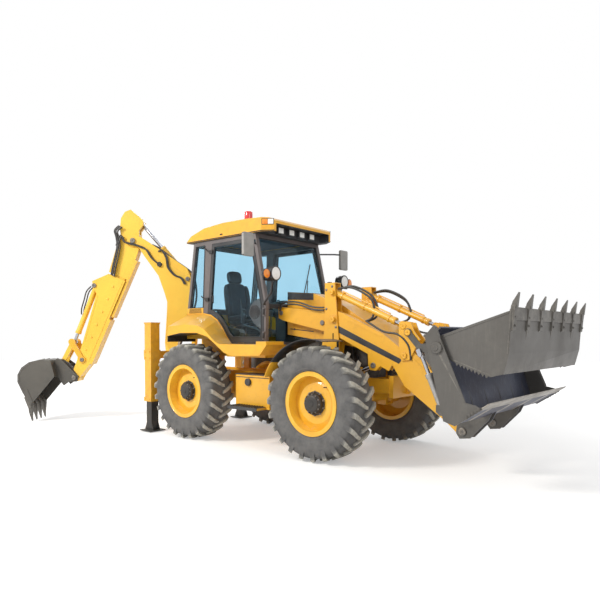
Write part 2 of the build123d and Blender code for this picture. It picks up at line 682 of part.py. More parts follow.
# Line where the cab stands on its base, from the front to the rear.
sill_line = [(cab_front, 1400), (-1690, 1405), (-1780, 1440), (-1880, 1540), (-1975, 1665),
             (-2095, 1790), (-2240, 1868), (-2400, 1895), (cab_rear, 1900)]
with BuildPart() as cab_base:
    for side in (-1, 1):
        with BuildSketch(side_plane(side * cab_half_width)) as beside_cab:
            with BuildLine():
                Polyline(*fender_inside, close=True)
            make_face()
        with BuildSketch(side_plane(side * platform_half_width)) as outer_face:
            with BuildLine():
                Polyline(*fender_outside, close=True)
            make_face()
        loft([beside_cab.sketch, outer_face.sketch], ruled=True)
        # Box on the front end of the platform.
        block((-900, -715), (side * (cab_half_width + 40), side * (platform_half_width - 10)),
              (1425, 1472))
        # Lower cab wall above the wheel arch.
        wall = cab_side_plane(side, cab_wall / 2)
        slab(wall, up_the_side(sill_line + [(cab_rear, arch_top), (arch_front - 40, arch_top),
                                            (arch_front, 1240), (cab_front, 1240)]), cab_wall)
        # Wheel arch inside the cab: it meets the lower wall, and clears the wall above it.
        arch_ceiling = arch_top + 30
        outer = side * (cab_half_at(arch_top) + 5)
        front_outer = side * (cab_half_at(arch_ceiling) - running_gap)
        block((cab_rear, arch_front), (side * (arch_inner - 30), outer),
              (arch_top, arch_ceiling))
        block((arch_front, arch_front + 30), (side * (arch_inner - 30), front_outer),
              (cab_floor_top - 60, arch_ceiling))
        block((cab_rear, arch_front + 30), (side * (arch_inner - 30), side * arch_inner),
              (cab_floor_top - 60, arch_top))
        # Joins the fender to the leaning wall.
        for x_range, z_range in (((-2500, -2130), (1600, 1760)), ((-1600, -1120), (1290, 1395))):
            block(x_range, (side * (cab_half_width - 50), side * (cab_half_width + 20)), z_range)
    # Cab floor, rear bulkhead and front bulkhead.
    half = cab_half_at(cab_sill)
    block((arch_front, cab_front), (-half, half), (cab_floor_top - 60, cab_floor_top))
    block((cab_rear, arch_front), (-arch_inner, arch_inner), (cab_floor_top - 60, cab_floor_top))
    cross_sheet((cab_rear + 25, arch_top + 10), (cab_rear + 25, 1900), 50)
    block((cab_rear, cab_rear + 50), (-arch_inner, arch_inner), (cab_floor_top - 60, arch_top + 20))
    cross_sheet((cab_front - 30, cab_floor_top - 30), (cab_front - 30, cab_sill - 1), 60)
    # Mounts down to the chassis rails.
    for mount_x in (-2500, -1200):
        for side in (-1, 1):
            block((mount_x - 60, mount_x + 60),
                  (side * (rail_offset - 30), side * (rail_offset + 30)),
                  (rail_top, cab_floor_top - 60))
write_piece(cab_base, "cab_base")

with BuildPart() as side_tanks:
    for side in (-1, 1):
        block((-1560, -900), (side * (rail_offset + rail_width / 2), side * 860), (540, 1000))
        block((-1500, -960), (side * 860, side * 1060), (540, 570))
write_piece(side_tanks, "side_tanks")

cab_side = sill_line + [(cab_top_rear, cab_top), (cab_top_front, cab_top), (cab_front, 2000)]
door_opening = [(-1120, 1440), (-1120, 1990), (-1358, 2940), (-2228, 2940), (-2316, 1895),
                (-2240, 1888), (-2080, 1812), (-1958, 1684), (-1862, 1560), (-1768, 1462),
                (-1700, 1440)]
rear_window = [(-2392, 2930), (-2600, 2930), (-2735, 1985), (-2424, 1985)]
# Heights of the door hinges, measured up the cab's side from its sill.
hinge_levels = (150, 480)
hinge_half = 40
hinge_pin_radius = 8
with BuildPart() as cab_frame:
    for side in (-1, 1):
        wall = cab_side_plane(side, cab_wall / 2)
        slab(wall, up_the_side(cab_side), cab_wall)
        slab(wall, up_the_side(door_opening), cab_wall + 2, Mode.SUBTRACT)
        slab(wall, up_the_side(rear_window), cab_wall + 2, Mode.SUBTRACT)
        # Hinge brackets and pins of the door, on the front pillar.
        axis_plane = cab_side_plane(side, -door_axis_stand)
        for level in hinge_levels:
            low = axis_plane.from_local_coords((door_axis_x, level - hinge_half - 16, 0))
            high = axis_plane.from_local_coords((door_axis_x, level + hinge_half + 16, 0))
            rod(low, high, hinge_pin_radius)
            for end in (-1, 1):
                near = level + end * (hinge_half + 2)
                far = level + end * (hinge_half + 16)
                start = axis_plane.from_local_coords((door_axis_x, near, 0))
                finish = axis_plane.from_local_coords((door_axis_x, far, 0))
                rod(start, finish, 11)
                slab(cab_side_plane(side, -13), [(door_axis_x, near), (-1096, near),
                                                 (-1096, far), (door_axis_x, far)], 16)
                slab(cab_side_plane(side, -8), [(-1112, near), (-1096, near),
                                                (-1096, far), (-1112, far)], 26)
    cross_sheet((cab_front - 30, cab_sill), (cab_front - 30, cab_sill + 60), 60)
    cross_sheet((cab_front - 30, 1935), (cab_front - 30, 1990), 60)
    cross_sheet((-1329, 2942), (-1340, 2994), 60)
    cross_sheet((-2634, 2937), (-2626, 2995), 60)
    cross_sheet((-2780, 1903), (-2769, 1980), 60)
    # Plates that carry the bonnet's hinge.
    for side in (-1, 1):
        plane = side_plane(side * hinge_plate_y)
        slab(plane, [(cab_front - 20, 1940), (cab_front + 20, 1940), (-958, 2092),
                     (-990, 2132), (cab_front - 20, 1985)], hinge_plate)
        disc(plane, bonnet_hinge, 24, hinge_plate)
        disc(side_plane(side * middle_of(hinge_plate_y, bonnet_ear_y)), bonnet_hinge,
             bonnet_pin_radius, bonnet_ear_y - hinge_plate_y + hinge_plate + 10)
write_piece(cab_frame, "cab_frame")

roof_base = cab_top + running_gap
roof_outline = [(-1010, roof_base), (-1010, 3150), (-1080, 3192), (-1457, 3214), (-1960, 3220),
                (-2379, 3192), (-2693, 3104), (-2800, 3020), (-2800, roof_base)]
lamp_recess_x = -1200
with BuildPart() as cab_roof:
    slab(side_plane(0), roof_outline, 2 * roof_half_width)
    block((-2560, -1400), (-630, 630), (roof_base - 5, 3100), Mode.SUBTRACT)
    # Recess for the work lamps under the front lip.
    block((lamp_recess_x, -900), (-600, 600), (roof_base - 5, 3112), Mode.SUBTRACT)
    for side in (-1, 1):
        # Front corner cut off in plan.
        slab(Plane.XY.offset(3100), [(-1165, side * roof_half_width), (-1010, side * 640),
                                     (-900, side * 640), (-900, side * 900),
                                     (-1165, side * 900)], 400, Mode.SUBTRACT)
write_piece(cab_roof, "cab_roof")

with BuildPart() as cab_glass:
    # Windscreen, lower front pane, rear screen and the rear side panes.
    cross_sheet((-1122, 1992), (-1326, 2938), glass_thickness, running_gap)
    cross_sheet((cab_front - 30, cab_sill + 61), (cab_front - 30, 1934), glass_thickness,
                running_gap)
    cross_sheet((-2768, 1984), (-2635, 2934), glass_thickness, running_gap)
    for side in (-1, 1):
        slab(cab_side_plane(side, cab_wall / 2), up_the_side(rear_window), glass_thickness)
write_piece(cab_glass, "cab_glass")

door_outline = [(-1126, 1446), (-1126, 1989), (-1363, 2934), (-2222, 2934), (-2309, 1901),
                (-2238, 1895), (-2076, 1818), (-1953, 1688), (-1857, 1564), (-1765, 1468),
                (-1698, 1446)]
door_window = [(-1180, 1530), (-1180, 1985), (-1405, 2885), (-2172, 2885), (-2248, 1950),
               (-2160, 1915), (-2035, 1850), (-1915, 1722), (-1818, 1595), (-1740, 1530)]
for side, hand in ((1, "left"), (-1, "right")):
    with BuildPart() as door:
        plane = cab_side_plane(side, door_thickness / 2)
        slab(plane, up_the_side(door_outline), door_thickness)
        slab(plane, up_the_side(door_window), door_thickness + 2, Mode.SUBTRACT)
        # Hinge barrels with the leaves that carry them.
        axis_plane = cab_side_plane(side, -door_axis_stand)
        for level in hinge_levels:
            low = axis_plane.from_local_coords((door_axis_x, level - hinge_half, 0))
            high = axis_plane.from_local_coords((door_axis_x, level + hinge_half, 0))
            slab(cab_side_plane(side, -2.5), [(door_axis_x - 4, level - hinge_half),
                                              (door_axis_x - 48, level - hinge_half),
                                              (door_axis_x - 48, level + hinge_half),
                                              (door_axis_x - 4, level + hinge_half)], 7)
            rod(low, high, 13)
            rod(low, high, hinge_pin_radius + running_gap, Mode.SUBTRACT)
    write_piece(door, f"door_{hand}")
    with BuildPart() as door_glass:
        slab(cab_side_plane(side, door_thickness / 2), up_the_side(door_window),
             glass_thickness)
    write_piece(door_glass, f"door_glass_{hand}")

with BuildPart() as seat:
    with BuildSketch(side_plane(0)) as profile:
        with BuildLine():
            Polyline((-1950, 1720), (-1950, 1820), (-2440, 1790), (-2440, 1700), close=True)
        make_face()
    extrude(profile.sketch, amount=250, both=True)
    slab(side_plane(0), [(-2330, 1770), (-2440, 1750), (-2530, 2520), (-2430, 2560)], 460)
    block((-2350, -2050), (-180, 180), (cab_floor_top, 1705))
write_piece(seat, "seat")

with BuildPart() as steering_column:
    rod((-1337, 0, cab_floor_top + 25), (-1530, 0, 2000), 50)
    column = Vector(-200, 0, 700).normalized()
    with BuildSketch(Plane(origin=(-1530, 0, 2000), z_dir=column)) as wheel:
        Circle(190)
        Circle(160, mode=Mode.SUBTRACT)
        Rectangle(330, 40)
        Circle(50)
    extrude(wheel.sketch, amount=28)
    block((-1350, -1155), (-250, 250), (cab_floor_top, 1900))
write_piece(steering_column, "steering_column")

with BuildPart() as work_lamps:
    for lamp_y in (-352, -117, 117, 352):
        block((lamp_recess_x + running_gap, lamp_recess_x + 50), (lamp_y - 62, lamp_y + 62),
              (3012, 3105))
    for side in (-1, 1):
        # Headlamp on a stalk from the front pillar.
        rod((-960, side * 790, 2390), (-850, side * 790, 2390), 95)
        bent_rod([(-1104, side * 730.7, 1990), (-1104, side * 765, 1990),
                  (-940, side * 790, 2130), (-905, side * 790, 2300)], 16)
    rod((-1560, -600, 3216), (-1560, -600, 3330), 60)
write_piece(work_lamps, "work_lamps")

with BuildPart() as mirrors:
    for side in (-1, 1):
        block((-1100, -1065), (side * 990, side * 1180), (2620, 2920))
        bent_rod([(-1300, side * 716.7, 2850), (-1300, side * 745, 2850),
                  (-1130, side * 900, 2850), (-1083, side * 995, 2850)], 12)
write_piece(mirrors, "mirrors")

# ---- stabilisers and carriage --------------------------------------------------------------------
with BuildPart() as stabiliser_frame:
    for low, high in (upper_beam, lower_beam):
        reach = leg_y - leg_outer / 2 + leg_wall / 2
        block((beam_rear, beam_rear + beam_depth), (-reach, reach), (low, high))
    for side in (-1, 1):
        with Locations((leg_x, side * leg_y, middle_of(leg_bottom, leg_top))):
            Box(leg_outer, leg_outer, leg_top - leg_bottom)
        # Upright between the beams, at the end of each chassis rail.
        block((beam_rear, beam_rear + beam_depth),
              (side * (rail_offset - rail_width / 2), side * (rail_offset + rail_width / 2)),
              (lower_beam[0], upper_beam[1]))
        with Locations((leg_x, side * leg_y, middle_of(leg_bottom, leg_top - leg_wall))):
            bore = leg_outer - 2 * leg_wall
            Box(bore, bore, leg_top - leg_bottom - leg_wall, mode=Mode.SUBTRACT)
        # Guide at the mouth of the tube.
        with Locations((leg_x, side * leg_y, leg_bottom + 40)):
            Box(leg_outer, leg_outer, 80)
            guide = leg_inner + 2 * running_gap
            Box(guide, guide, 82, mode=Mode.SUBTRACT)
write_piece(stabiliser_frame, "stabiliser_frame")

leg_inner_top = 1120
for side, hand in ((1, "left"), (-1, "right")):
    with BuildPart() as leg:
        with Locations((leg_x, side * leg_y, middle_of(foot_thickness, leg_inner_top))):
            Box(leg_inner, leg_inner, leg_inner_top - foot_thickness)
        # The pad's underside slopes up to its rim.
        with BuildSketch(Plane.XY) as sole:
            with Locations((leg_x, side * leg_y)):
                Rectangle(foot_size - 2 * foot_turn_up, foot_size - 2 * foot_turn_up)
        with BuildSketch(Plane.XY.offset(foot_rim_height)) as rim_face:
            with Locations((leg_x, side * leg_y)):
                Rectangle(foot_size, foot_size)
        loft([sole.sketch, rim_face.sketch], ruled=True)
        with Locations((leg_x, side * leg_y, middle_of(foot_rim_height, foot_thickness))):
            Box(foot_size, foot_size, foot_thickness - foot_rim_height)
    write_piece(leg, f"stabiliser_leg_{hand}")

lug_bottom = (455, 540)
lug_top = (880, 960)
with BuildPart() as carriage:
    front = beam_rear - running_gap
    block((front - 60, front), (kingpost_y - carriage_half_width,
                                kingpost_y + carriage_half_width),
          (lower_beam[0] - 40, upper_beam[1] + 40))
    # Lips that hook over the beams.
    block((front, front + 80), (kingpost_y - carriage_half_width,
                                kingpost_y + carriage_half_width),
          (upper_beam[1] + running_gap, upper_beam[1] + 40))
    block((front, front + 80), (kingpost_y - carriage_half_width,
                                kingpost_y + carriage_half_width),
          (lower_beam[0] - 40, lower_beam[0] - running_gap))
    for low, high in (lug_bottom, lug_top):
        block((kingpost_x, front - 60), (kingpost_y - 110, kingpost_y + 110), (low, high))
        rod((kingpost_x, kingpost_y, low), (kingpost_x, kingpost_y, high), 110)
        rod((kingpost_x, kingpost_y, low - 1), (kingpost_x, kingpost_y, high + 1),
            60 + running_gap, Mode.SUBTRACT)
write_piece(carriage, "carriage")

ear_plate = 28
ear_y = boom_half_width + moving_gap + ear_plate / 2
with BuildPart() as swing_post:
    rod((kingpost_x, kingpost_y, lug_bottom[0]), (kingpost_x, kingpost_y, 1010), 60)
    rod((kingpost_x, kingpost_y, lug_bottom[1] + 5), (kingpost_x, kingpost_y, lug_top[0] - 5),
        105)
    for offset_y in (-ear_y, ear_y):
        slab(swing_plane(offset_y), [(40, 580), (330, 660), (450, 720), (470, 820),
                                     (420, 900), (300, 930), (140, 860), (40, 860)],
             ear_plate)
    slab(swing_plane(), [(40, 580), (160, 610), (160, 840), (40, 840)],
         2 * ear_y + ear_plate)
    disc(swing_plane(), boom_foot, 45, 2 * ear_y + ear_plate + 20)
    # Horn above the upper lug for the boom ram.
    rod((kingpost_x, kingpost_y, lug_top[1] + 5), (kingpost_x, kingpost_y, 1030), 100)
    for offset_y in (-78, 78):
        slab(swing_plane(offset_y), [(-60, 1000), (90, 1000), (90, 1140), (-10, 1140)], 24)
    disc(swing_plane(), boom_ram_base, pin_radius, 180)
write_piece(swing_post, "swing_post")

# ---- boom ---------------------------------------------------------------------------------------
boom_outline = [(250, 830), (250, 740), (450, 740), (475, 860), (530, 1420), (512, 1670),
                (490, 2000), (485, 2160), (535, 2330), (640, 2630), (900, 2990), (1010, 3160),
                (1180, 3330), (1080, 3365), (950, 3320), (630, 3110), (120, 2760), (60, 2600),
                (60, 2200), (160, 1800), (300, 1400), (320, 1100)]
with BuildPart() as boom:
    slab(swing_plane(), boom_outline, 2 * boom_half_width)
    disc(swing_plane(), boom_foot, 105, 2 * boom_half_width)
    disc(swing_plane(), dipper_pivot, 105, 2 * boom_half_width)
    # Open channel for the dipper ram and the fork that holds the dipper.
    slab(swing_plane(), [(-50, 2430), (150, 2430), (830, 2900), (900, 3250), (900, 3450),
                         (-50, 3450)], 2 * fork_half_gap, Mode.SUBTRACT)
    disc(swing_plane(), dipper_pivot, 430, 2 * fork_half_gap, Mode.SUBTRACT)
    disc(swing_plane(), dipper_ram_base, pin_radius, 2 * boom_half_width + 30)
    disc(swing_plane(), dipper_pivot, 40, 2 * boom_half_width + 30)
    disc(swing_plane(), boom_foot, 45 + running_gap, 2 * boom_half_width + 2, Mode.SUBTRACT)
    # Bracket for the boom ram.
    for offset_y in (-50, 50):
        slab(swing_plane(offset_y), [(165, 1780), (60, 1885), (-60, 1900), (-70, 1975),
                                     (-20, 2010), (110, 2110)], 24)
write_piece(boom, "boom")

# Columns: name, plane, base, rod pin, barrel length, rod length, barrel radius, rod radius,
# eye width at the base, eye width at the rod.
boom_ram_length = hypot(boom_ram_rod_pin[0] - boom_ram_base[0],
                        boom_ram_rod_pin[1] - boom_ram_base[1])
dipper_slope_radians = radians(dipper_slope)
head_pin = (
    dipper_pivot[0] + dipper_ram_rod_pin[0] * cos(dipper_slope_radians)
    + dipper_ram_rod_pin[1] * sin(dipper_slope_radians),
    dipper_pivot[1] - dipper_ram_rod_pin[0] * sin(dipper_slope_radians)
    + dipper_ram_rod_pin[1] * cos(dipper_slope_radians),
)
dipper_ram_length = hypot(head_pin[0] - dipper_ram_base[0], head_pin[1] - dipper_ram_base[1])
bucket_ram_length = hypot(tipping_joint[0] - bucket_ram_base[0],
                          tipping_joint[1] - bucket_ram_base[1])
backhoe_rams = [
    ("boom_ram", swing_plane(), boom_ram_base, boom_ram_rod_pin, 690,
     boom_ram_length - 150, 54, 34, 118, 60),
    ("dipper_ram", swing_plane(), dipper_ram_base, head_pin, 755,
     dipper_ram_length - 604, 56, 32, 120, 60),
    ("bucket_ram", dipper_plane(), bucket_ram_base, tipping_joint, 930,
     bucket_ram_length - 175, 50, 30, 100, 60),
]
for name, plane, base, tip, barrel_length, rod_length, radius, rod_radius, wide, narrow in (
        backhoe_rams):
    with BuildPart() as barrel:
        ram_barrel(plane, base, tip, barrel_length, radius, rod_radius, 58, wide)
    write_piece(barrel, f"{name}_barrel")
    with BuildPart() as piston_rod:
        ram_rod(plane, base, tip, rod_length, rod_radius, 48, narrow)
    write_piece(piston_rod, f"{name}_rod")

# ---- dipper -------------------------------------------------------------------------------------
head_outline = [(-500, 270), (-420, 350), (-290, 370), (-100, 310), (40, 225), (200, 245),
                (690, 190), (690, -165), (250, -165), (100, -150), (-40, -100), (-210, -20),
                (-330, -50), (-400, -20), (-430, 40)]
with BuildPart() as dipper:
    plane = dipper_plane()
    slab(plane, head_outline, 2 * dipper_half_width)
    # Room for the eye of the dipper ram between the head's cheeks.
    slab(plane, [(-500, 175), (-500, -120), (-130, -120), (-170, 60), (-250, 175)], 84,
         Mode.SUBTRACT)
    # Sliding length inside the outer section, and the flange on the machine's side.
    slab(plane, [(680, 80), (2100, 80), (2100, -130), (680, -130)], 2 * dipper_half_width - 10)
    slab(plane, [(680, -120), (1420, -120), (1420, -170), (680, -170)], 120)
    slab(plane, [(300, -165), (1420, -165), (1420, -210), (300, -210)], 196)
    disc(plane, (0, 0), 40 + running_gap, 2 * dipper_half_width + 2, Mode.SUBTRACT)
write_piece(dipper, "dipper")

slide_side = [(720, 170), (960, 395), (1045, 350), (1140, 235), (2010, 125), (2450, 85),
              (2693, 80), (2760, 40), (2770, -20), (2730, -75), (2600, -90), (2350, -155),
              (720, -155)]
slide_plate = slide_outer - slide_inner
with BuildPart() as dipper_slide:
    for offset_y in (-1, 1):
        slab(dipper_plane(offset_y * middle_of(slide_inner, slide_outer)), slide_side,
             slide_plate)
    plane = dipper_plane()
    inside = 2 * slide_inner + 2
    slab(plane, [(740, 90), (2200, 90), (2200, 112), (740, 112)], inside)
    slab(plane, [(1470, -150), (2350, -150), (2350, -190), (1470, -190)], 2 * slide_outer)
    slab(plane, [(2180, 112), (2640, 75), (2640, -80), (2350, -152), (2180, -152)], inside)
    disc(plane, digging_pin, 76, 2 * slide_outer)
    disc(plane, digging_pin, pin_radius + running_gap, 2 * slide_outer + 2, Mode.SUBTRACT)
    disc(plane, bucket_ram_base, pin_radius, 2 * slide_outer + 20)
    disc(plane, tipping_pivot, pin_radius, 2 * slide_outer + 60)
    # Wear pads that carry the sliding length.
    for pad_u in (760, 1400):
        slab(plane, [(pad_u, 80 + running_gap), (pad_u + 40, 80 + running_gap),
                     (pad_u + 40, 95), (pad_u, 95)], 120)
write_piece(dipper_slide, "dipper_slide")

tip_plate = 18
tip_y = slide_outer + moving_gap + tip_plate / 2
lever_run = Vector(tipping_joint[0] - tipping_pivot[0], tipping_joint[1] - tipping_pivot[1])
lever_side = lever_run.normalized().rotate(Axis.Z, 90) * 45
with BuildPart() as tipping_lever:
    start, end = Vector(*tipping_pivot), Vector(*tipping_joint)
    points = [start + lever_side, end + lever_side, end - lever_side, start - lever_side]
    for offset_y in (-tip_y, tip_y):
        plane = dipper_plane(offset_y)
        slab(plane, [(point.X, point.Y) for point in points], tip_plate)
        disc(plane, tipping_pivot, 60, tip_plate)
        disc(plane, tipping_joint, 60, tip_plate)
        disc(plane, tipping_pivot, pin_radius + running_gap, tip_plate + 2, Mode.SUBTRACT)
    for offset_y in (-1, 1):
        inner, outer = 38, tip_y + tip_plate / 2
        disc(dipper_plane(offset_y * middle_of(inner, outer)), tipping_joint, 28,
             outer - inner)
write_piece(tipping_lever, "tipping_lever")

tip_link_plate = 26
tip_link_y = 80
tip_link_run = Vector(hitch_pin[0] - tipping_joint[0], hitch_pin[1] - tipping_joint[1])
tip_link_side = tip_link_run.normalized().rotate(Axis.Z, 90) * 38
with BuildPart() as tipping_link:
    start, end = Vector(*tipping_joint), Vector(*hitch_pin)
    points = [start + tip_link_side, end + tip_link_side, end - tip_link_side,
              start - tip_link_side]
    for offset_y in (-tip_link_y, tip_link_y):
        plane = dipper_plane(offset_y)
        slab(plane, [(point.X, point.Y) for point in points], tip_link_plate)
        disc(plane, tipping_joint, 50, tip_link_plate)
        disc(plane, hitch_pin, 48, tip_link_plate)
        disc(plane, tipping_joint, 28 + running_gap, tip_link_plate + 2, Mode.SUBTRACT)
    middle = (start + end) * 0.5
    slab(dipper_plane(), [(middle.X - 60, middle.Y - 20), (middle.X + 60, middle.Y - 20),
                          (middle.X + 60, middle.Y + 20), (middle.X - 60, middle.Y + 20)],
         2 * tip_link_y)
write_piece(tipping_link, "tipping_link")

# ---- digging bucket ---------------------------------------------------------------------------
bucket_back = [(2790, 290), (2560, 470), (2620, 640), (2740, 800), (2880, 885), (3020, 900),
               (3140, 850), (3270, 700), (3430, 480)]
with BuildPart() as digging_bucket:
    plane = dipper_plane()
    with BuildSketch(plane) as shell:
        with BuildLine() as run:
            Polyline(*bucket_back)
        trace(run.line, 18)
    extrude(shell.sketch, amount=digging_half_width, both=True)
    for side in (-1, 1):
        slab(dipper_plane(side * (digging_half_width - 8)), bucket_back, 16)
    tooth_pitch = 2 * (digging_half_width - 50) / (digging_tooth_count - 1)
    for index in range(digging_tooth_count):
        tooth_y = -digging_half_width + 50 + index * tooth_pitch
        slab(dipper_plane(tooth_y), [(3340, 640), (3460, 470), (3640, 380), (3420, 450),
                                     (3310, 590)], 56)
    # Quick hitch: cheeks round the dipper's nose and the link's pin.
    for offset_y in (-1, 1):
        slab(dipper_plane(offset_y * (tip_y + 6)),
             [(2640, -60), (2740, -70), (2800, 60), (2900, 120), (2790, 300), (2620, 470),
              (2490, 420), (2500, 300), (2600, 60)], 30)
        disc(dipper_plane(offset_y * middle_of(tip_link_y + 22, tip_y + 20)), hitch_pin, 26,
             tip_y - tip_link_y - 2)
    disc(plane, digging_pin, pin_radius, 2 * tip_y + 50)
write_piece(digging_bucket, "digging_bucket")
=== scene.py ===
"""Looks of the backhoe loader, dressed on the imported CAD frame.

Points are given in the machine frame in millimetres, as in the part's source: X forward from
the front axle, Y to the machine's left, Z up. `row` moves them to the frame, in metres.
"""
from math import atan2, cos, hypot, pi, radians, sin

import bpy
from mathutils import Matrix, Vector


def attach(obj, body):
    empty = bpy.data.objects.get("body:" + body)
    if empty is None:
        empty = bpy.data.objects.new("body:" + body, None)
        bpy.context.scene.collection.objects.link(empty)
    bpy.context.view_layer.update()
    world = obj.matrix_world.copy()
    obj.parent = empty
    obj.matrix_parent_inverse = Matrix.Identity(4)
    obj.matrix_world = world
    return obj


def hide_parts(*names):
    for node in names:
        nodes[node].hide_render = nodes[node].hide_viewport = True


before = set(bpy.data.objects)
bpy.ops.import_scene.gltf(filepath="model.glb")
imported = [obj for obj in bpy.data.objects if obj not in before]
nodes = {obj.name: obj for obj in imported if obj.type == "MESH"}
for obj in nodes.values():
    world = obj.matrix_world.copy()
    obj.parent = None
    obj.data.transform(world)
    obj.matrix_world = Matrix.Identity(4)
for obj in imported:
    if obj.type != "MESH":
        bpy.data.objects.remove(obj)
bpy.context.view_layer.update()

PLAN_CENTRE = Vector((-1940, -410, 0))
MM = 0.001
scene = bpy.context.scene


def row(point):
    """A machine-frame point in millimetres as a frame point in metres."""
    return (Vector(point) - PLAN_CENTRE) * MM


# ---- places shared with the part's source
SWING = radians(40)
OUTWARD = Vector((-cos(SWING), -sin(SWING), 0))
ACROSS = Vector((-sin(SWING), cos(SWING), 0))
UP = Vector((0, 0, 1))
KINGPOST = Vector((-3750, 200, 0))
DIPPER_SLOPE = radians(66.4)
DOWN_DIPPER = OUTWARD * cos(DIPPER_SLOPE) - UP * sin(DIPPER_SLOPE)
DIPPER_ORIGIN = KINGPOST + OUTWARD * 1100 + UP * 3260
CAB_HALF, CAB_SILL = 740, 1400
CAB_LEAN = atan2(CAB_HALF - 714, 3000 - CAB_SILL)
WHEEL_Y, WHEEL_RADIUS, REAR_AXLE = 920, 715, -2450
ARM_Y = 430
BONNET_SIDE, TANK_SIDE, STABILISER_Y = 336, 858, 1000
BUCKET_SIDE, CLAM_SIDE, ARM_HALF, BOOM_HALF = 1230, 1174, 46, 128


def side_plane(y):
    """Origin and axes of the upright plane along the machine at this Y."""
    return Vector((0, y, 0)), Vector((1, 0, 0)), Vector((0, 0, 1))


def swing_plane(step=0):
    """Plane of the swung backhoe: first axis is the reach, second is up."""
    return KINGPOST + ACROSS * step, OUTWARD, UP


def dipper_plane(step=0):
    """The same plane from the dipper's pivot: first axis runs down the dipper."""
    return DIPPER_ORIGIN + ACROSS * step, DOWN_DIPPER, ACROSS.cross(DOWN_DIPPER)


def cab_plane(side, depth=0):
    """Plane of a leaning cab side, this deep inside its outer face; second axis is up it."""
    inward = Vector((0, -side * cos(CAB_LEAN), -sin(CAB_LEAN)))
    origin = Vector((0, side * CAB_HALF, CAB_SILL)) + inward * depth
    return origin, Vector((1, 0, 0)), Vector((0, -side * sin(CAB_LEAN), cos(CAB_LEAN)))


def up_the_side(points):
    """Outline in X and Z, laid on the leaning side."""
    return [(x, (z - CAB_SILL) / cos(CAB_LEAN)) for x, z in points]


def on(plane, point, step=0):
    """Machine-frame point at plane coordinates, `step` off the plane."""
    origin, first, second = plane
    return origin + first * point[0] + second * point[1] + first.cross(second) * step


# ---- materials
def linked(tree, kind, **values):
    """Adds a node: `_name` sets a property, `i3` input 3 and `Name` the input of that name.

    A socket is linked and anything else is set as the input's value.
    """
    node = tree.nodes.new(kind)
    for key, value in values.items():
        if key.startswith("_"):
            setattr(node, key[1:], value)
            continue
        slot = node.inputs[int(key[1:])] if key[0] == "i" and key[1:].isdigit() else (
            node.inputs[key.replace("_", " ")])
        if isinstance(value, bpy.types.NodeSocket):
            tree.links.new(value, slot)
        else:
            slot.default_value = value
    return node


def ramp(tree, source, low, high):
    """0 below `low` and 1 above `high`."""
    node = linked(tree, "ShaderNodeMapRange", Value=source, From_Min=low, From_Max=high)
    node.clamp = True
    return node.outputs["Result"]


def noise(tree, where, scale, detail=5.0, rough=0.55):
    """Noise from 0 to 1, `scale` to the metre."""
    node = linked(tree, "ShaderNodeTexNoise", Vector=where, Scale=scale, Detail=detail,
                  Roughness=rough)
    return node.outputs["Fac"]


def blend(tree, factor, first, second):
    """Colour mix; `first` and `second` are sockets or colours."""
    first, second = (value if isinstance(value, bpy.types.NodeSocket) else (*value, 1)
                     for value in (first, second))
    return linked(tree, "ShaderNodeMix", _data_type="RGBA", i0=factor, i6=first,
                  i7=second).outputs[2]


def times(tree, first, second, kind="MULTIPLY"):
    """One number times another, or what other sum `kind` names."""
    return linked(tree, "ShaderNodeMath", _operation=kind, i0=first, i1=second).outputs[0]


BUMP_DEPTH = 0.002
STREAK_STRETCH = (9.0, 9.0, 0.9)


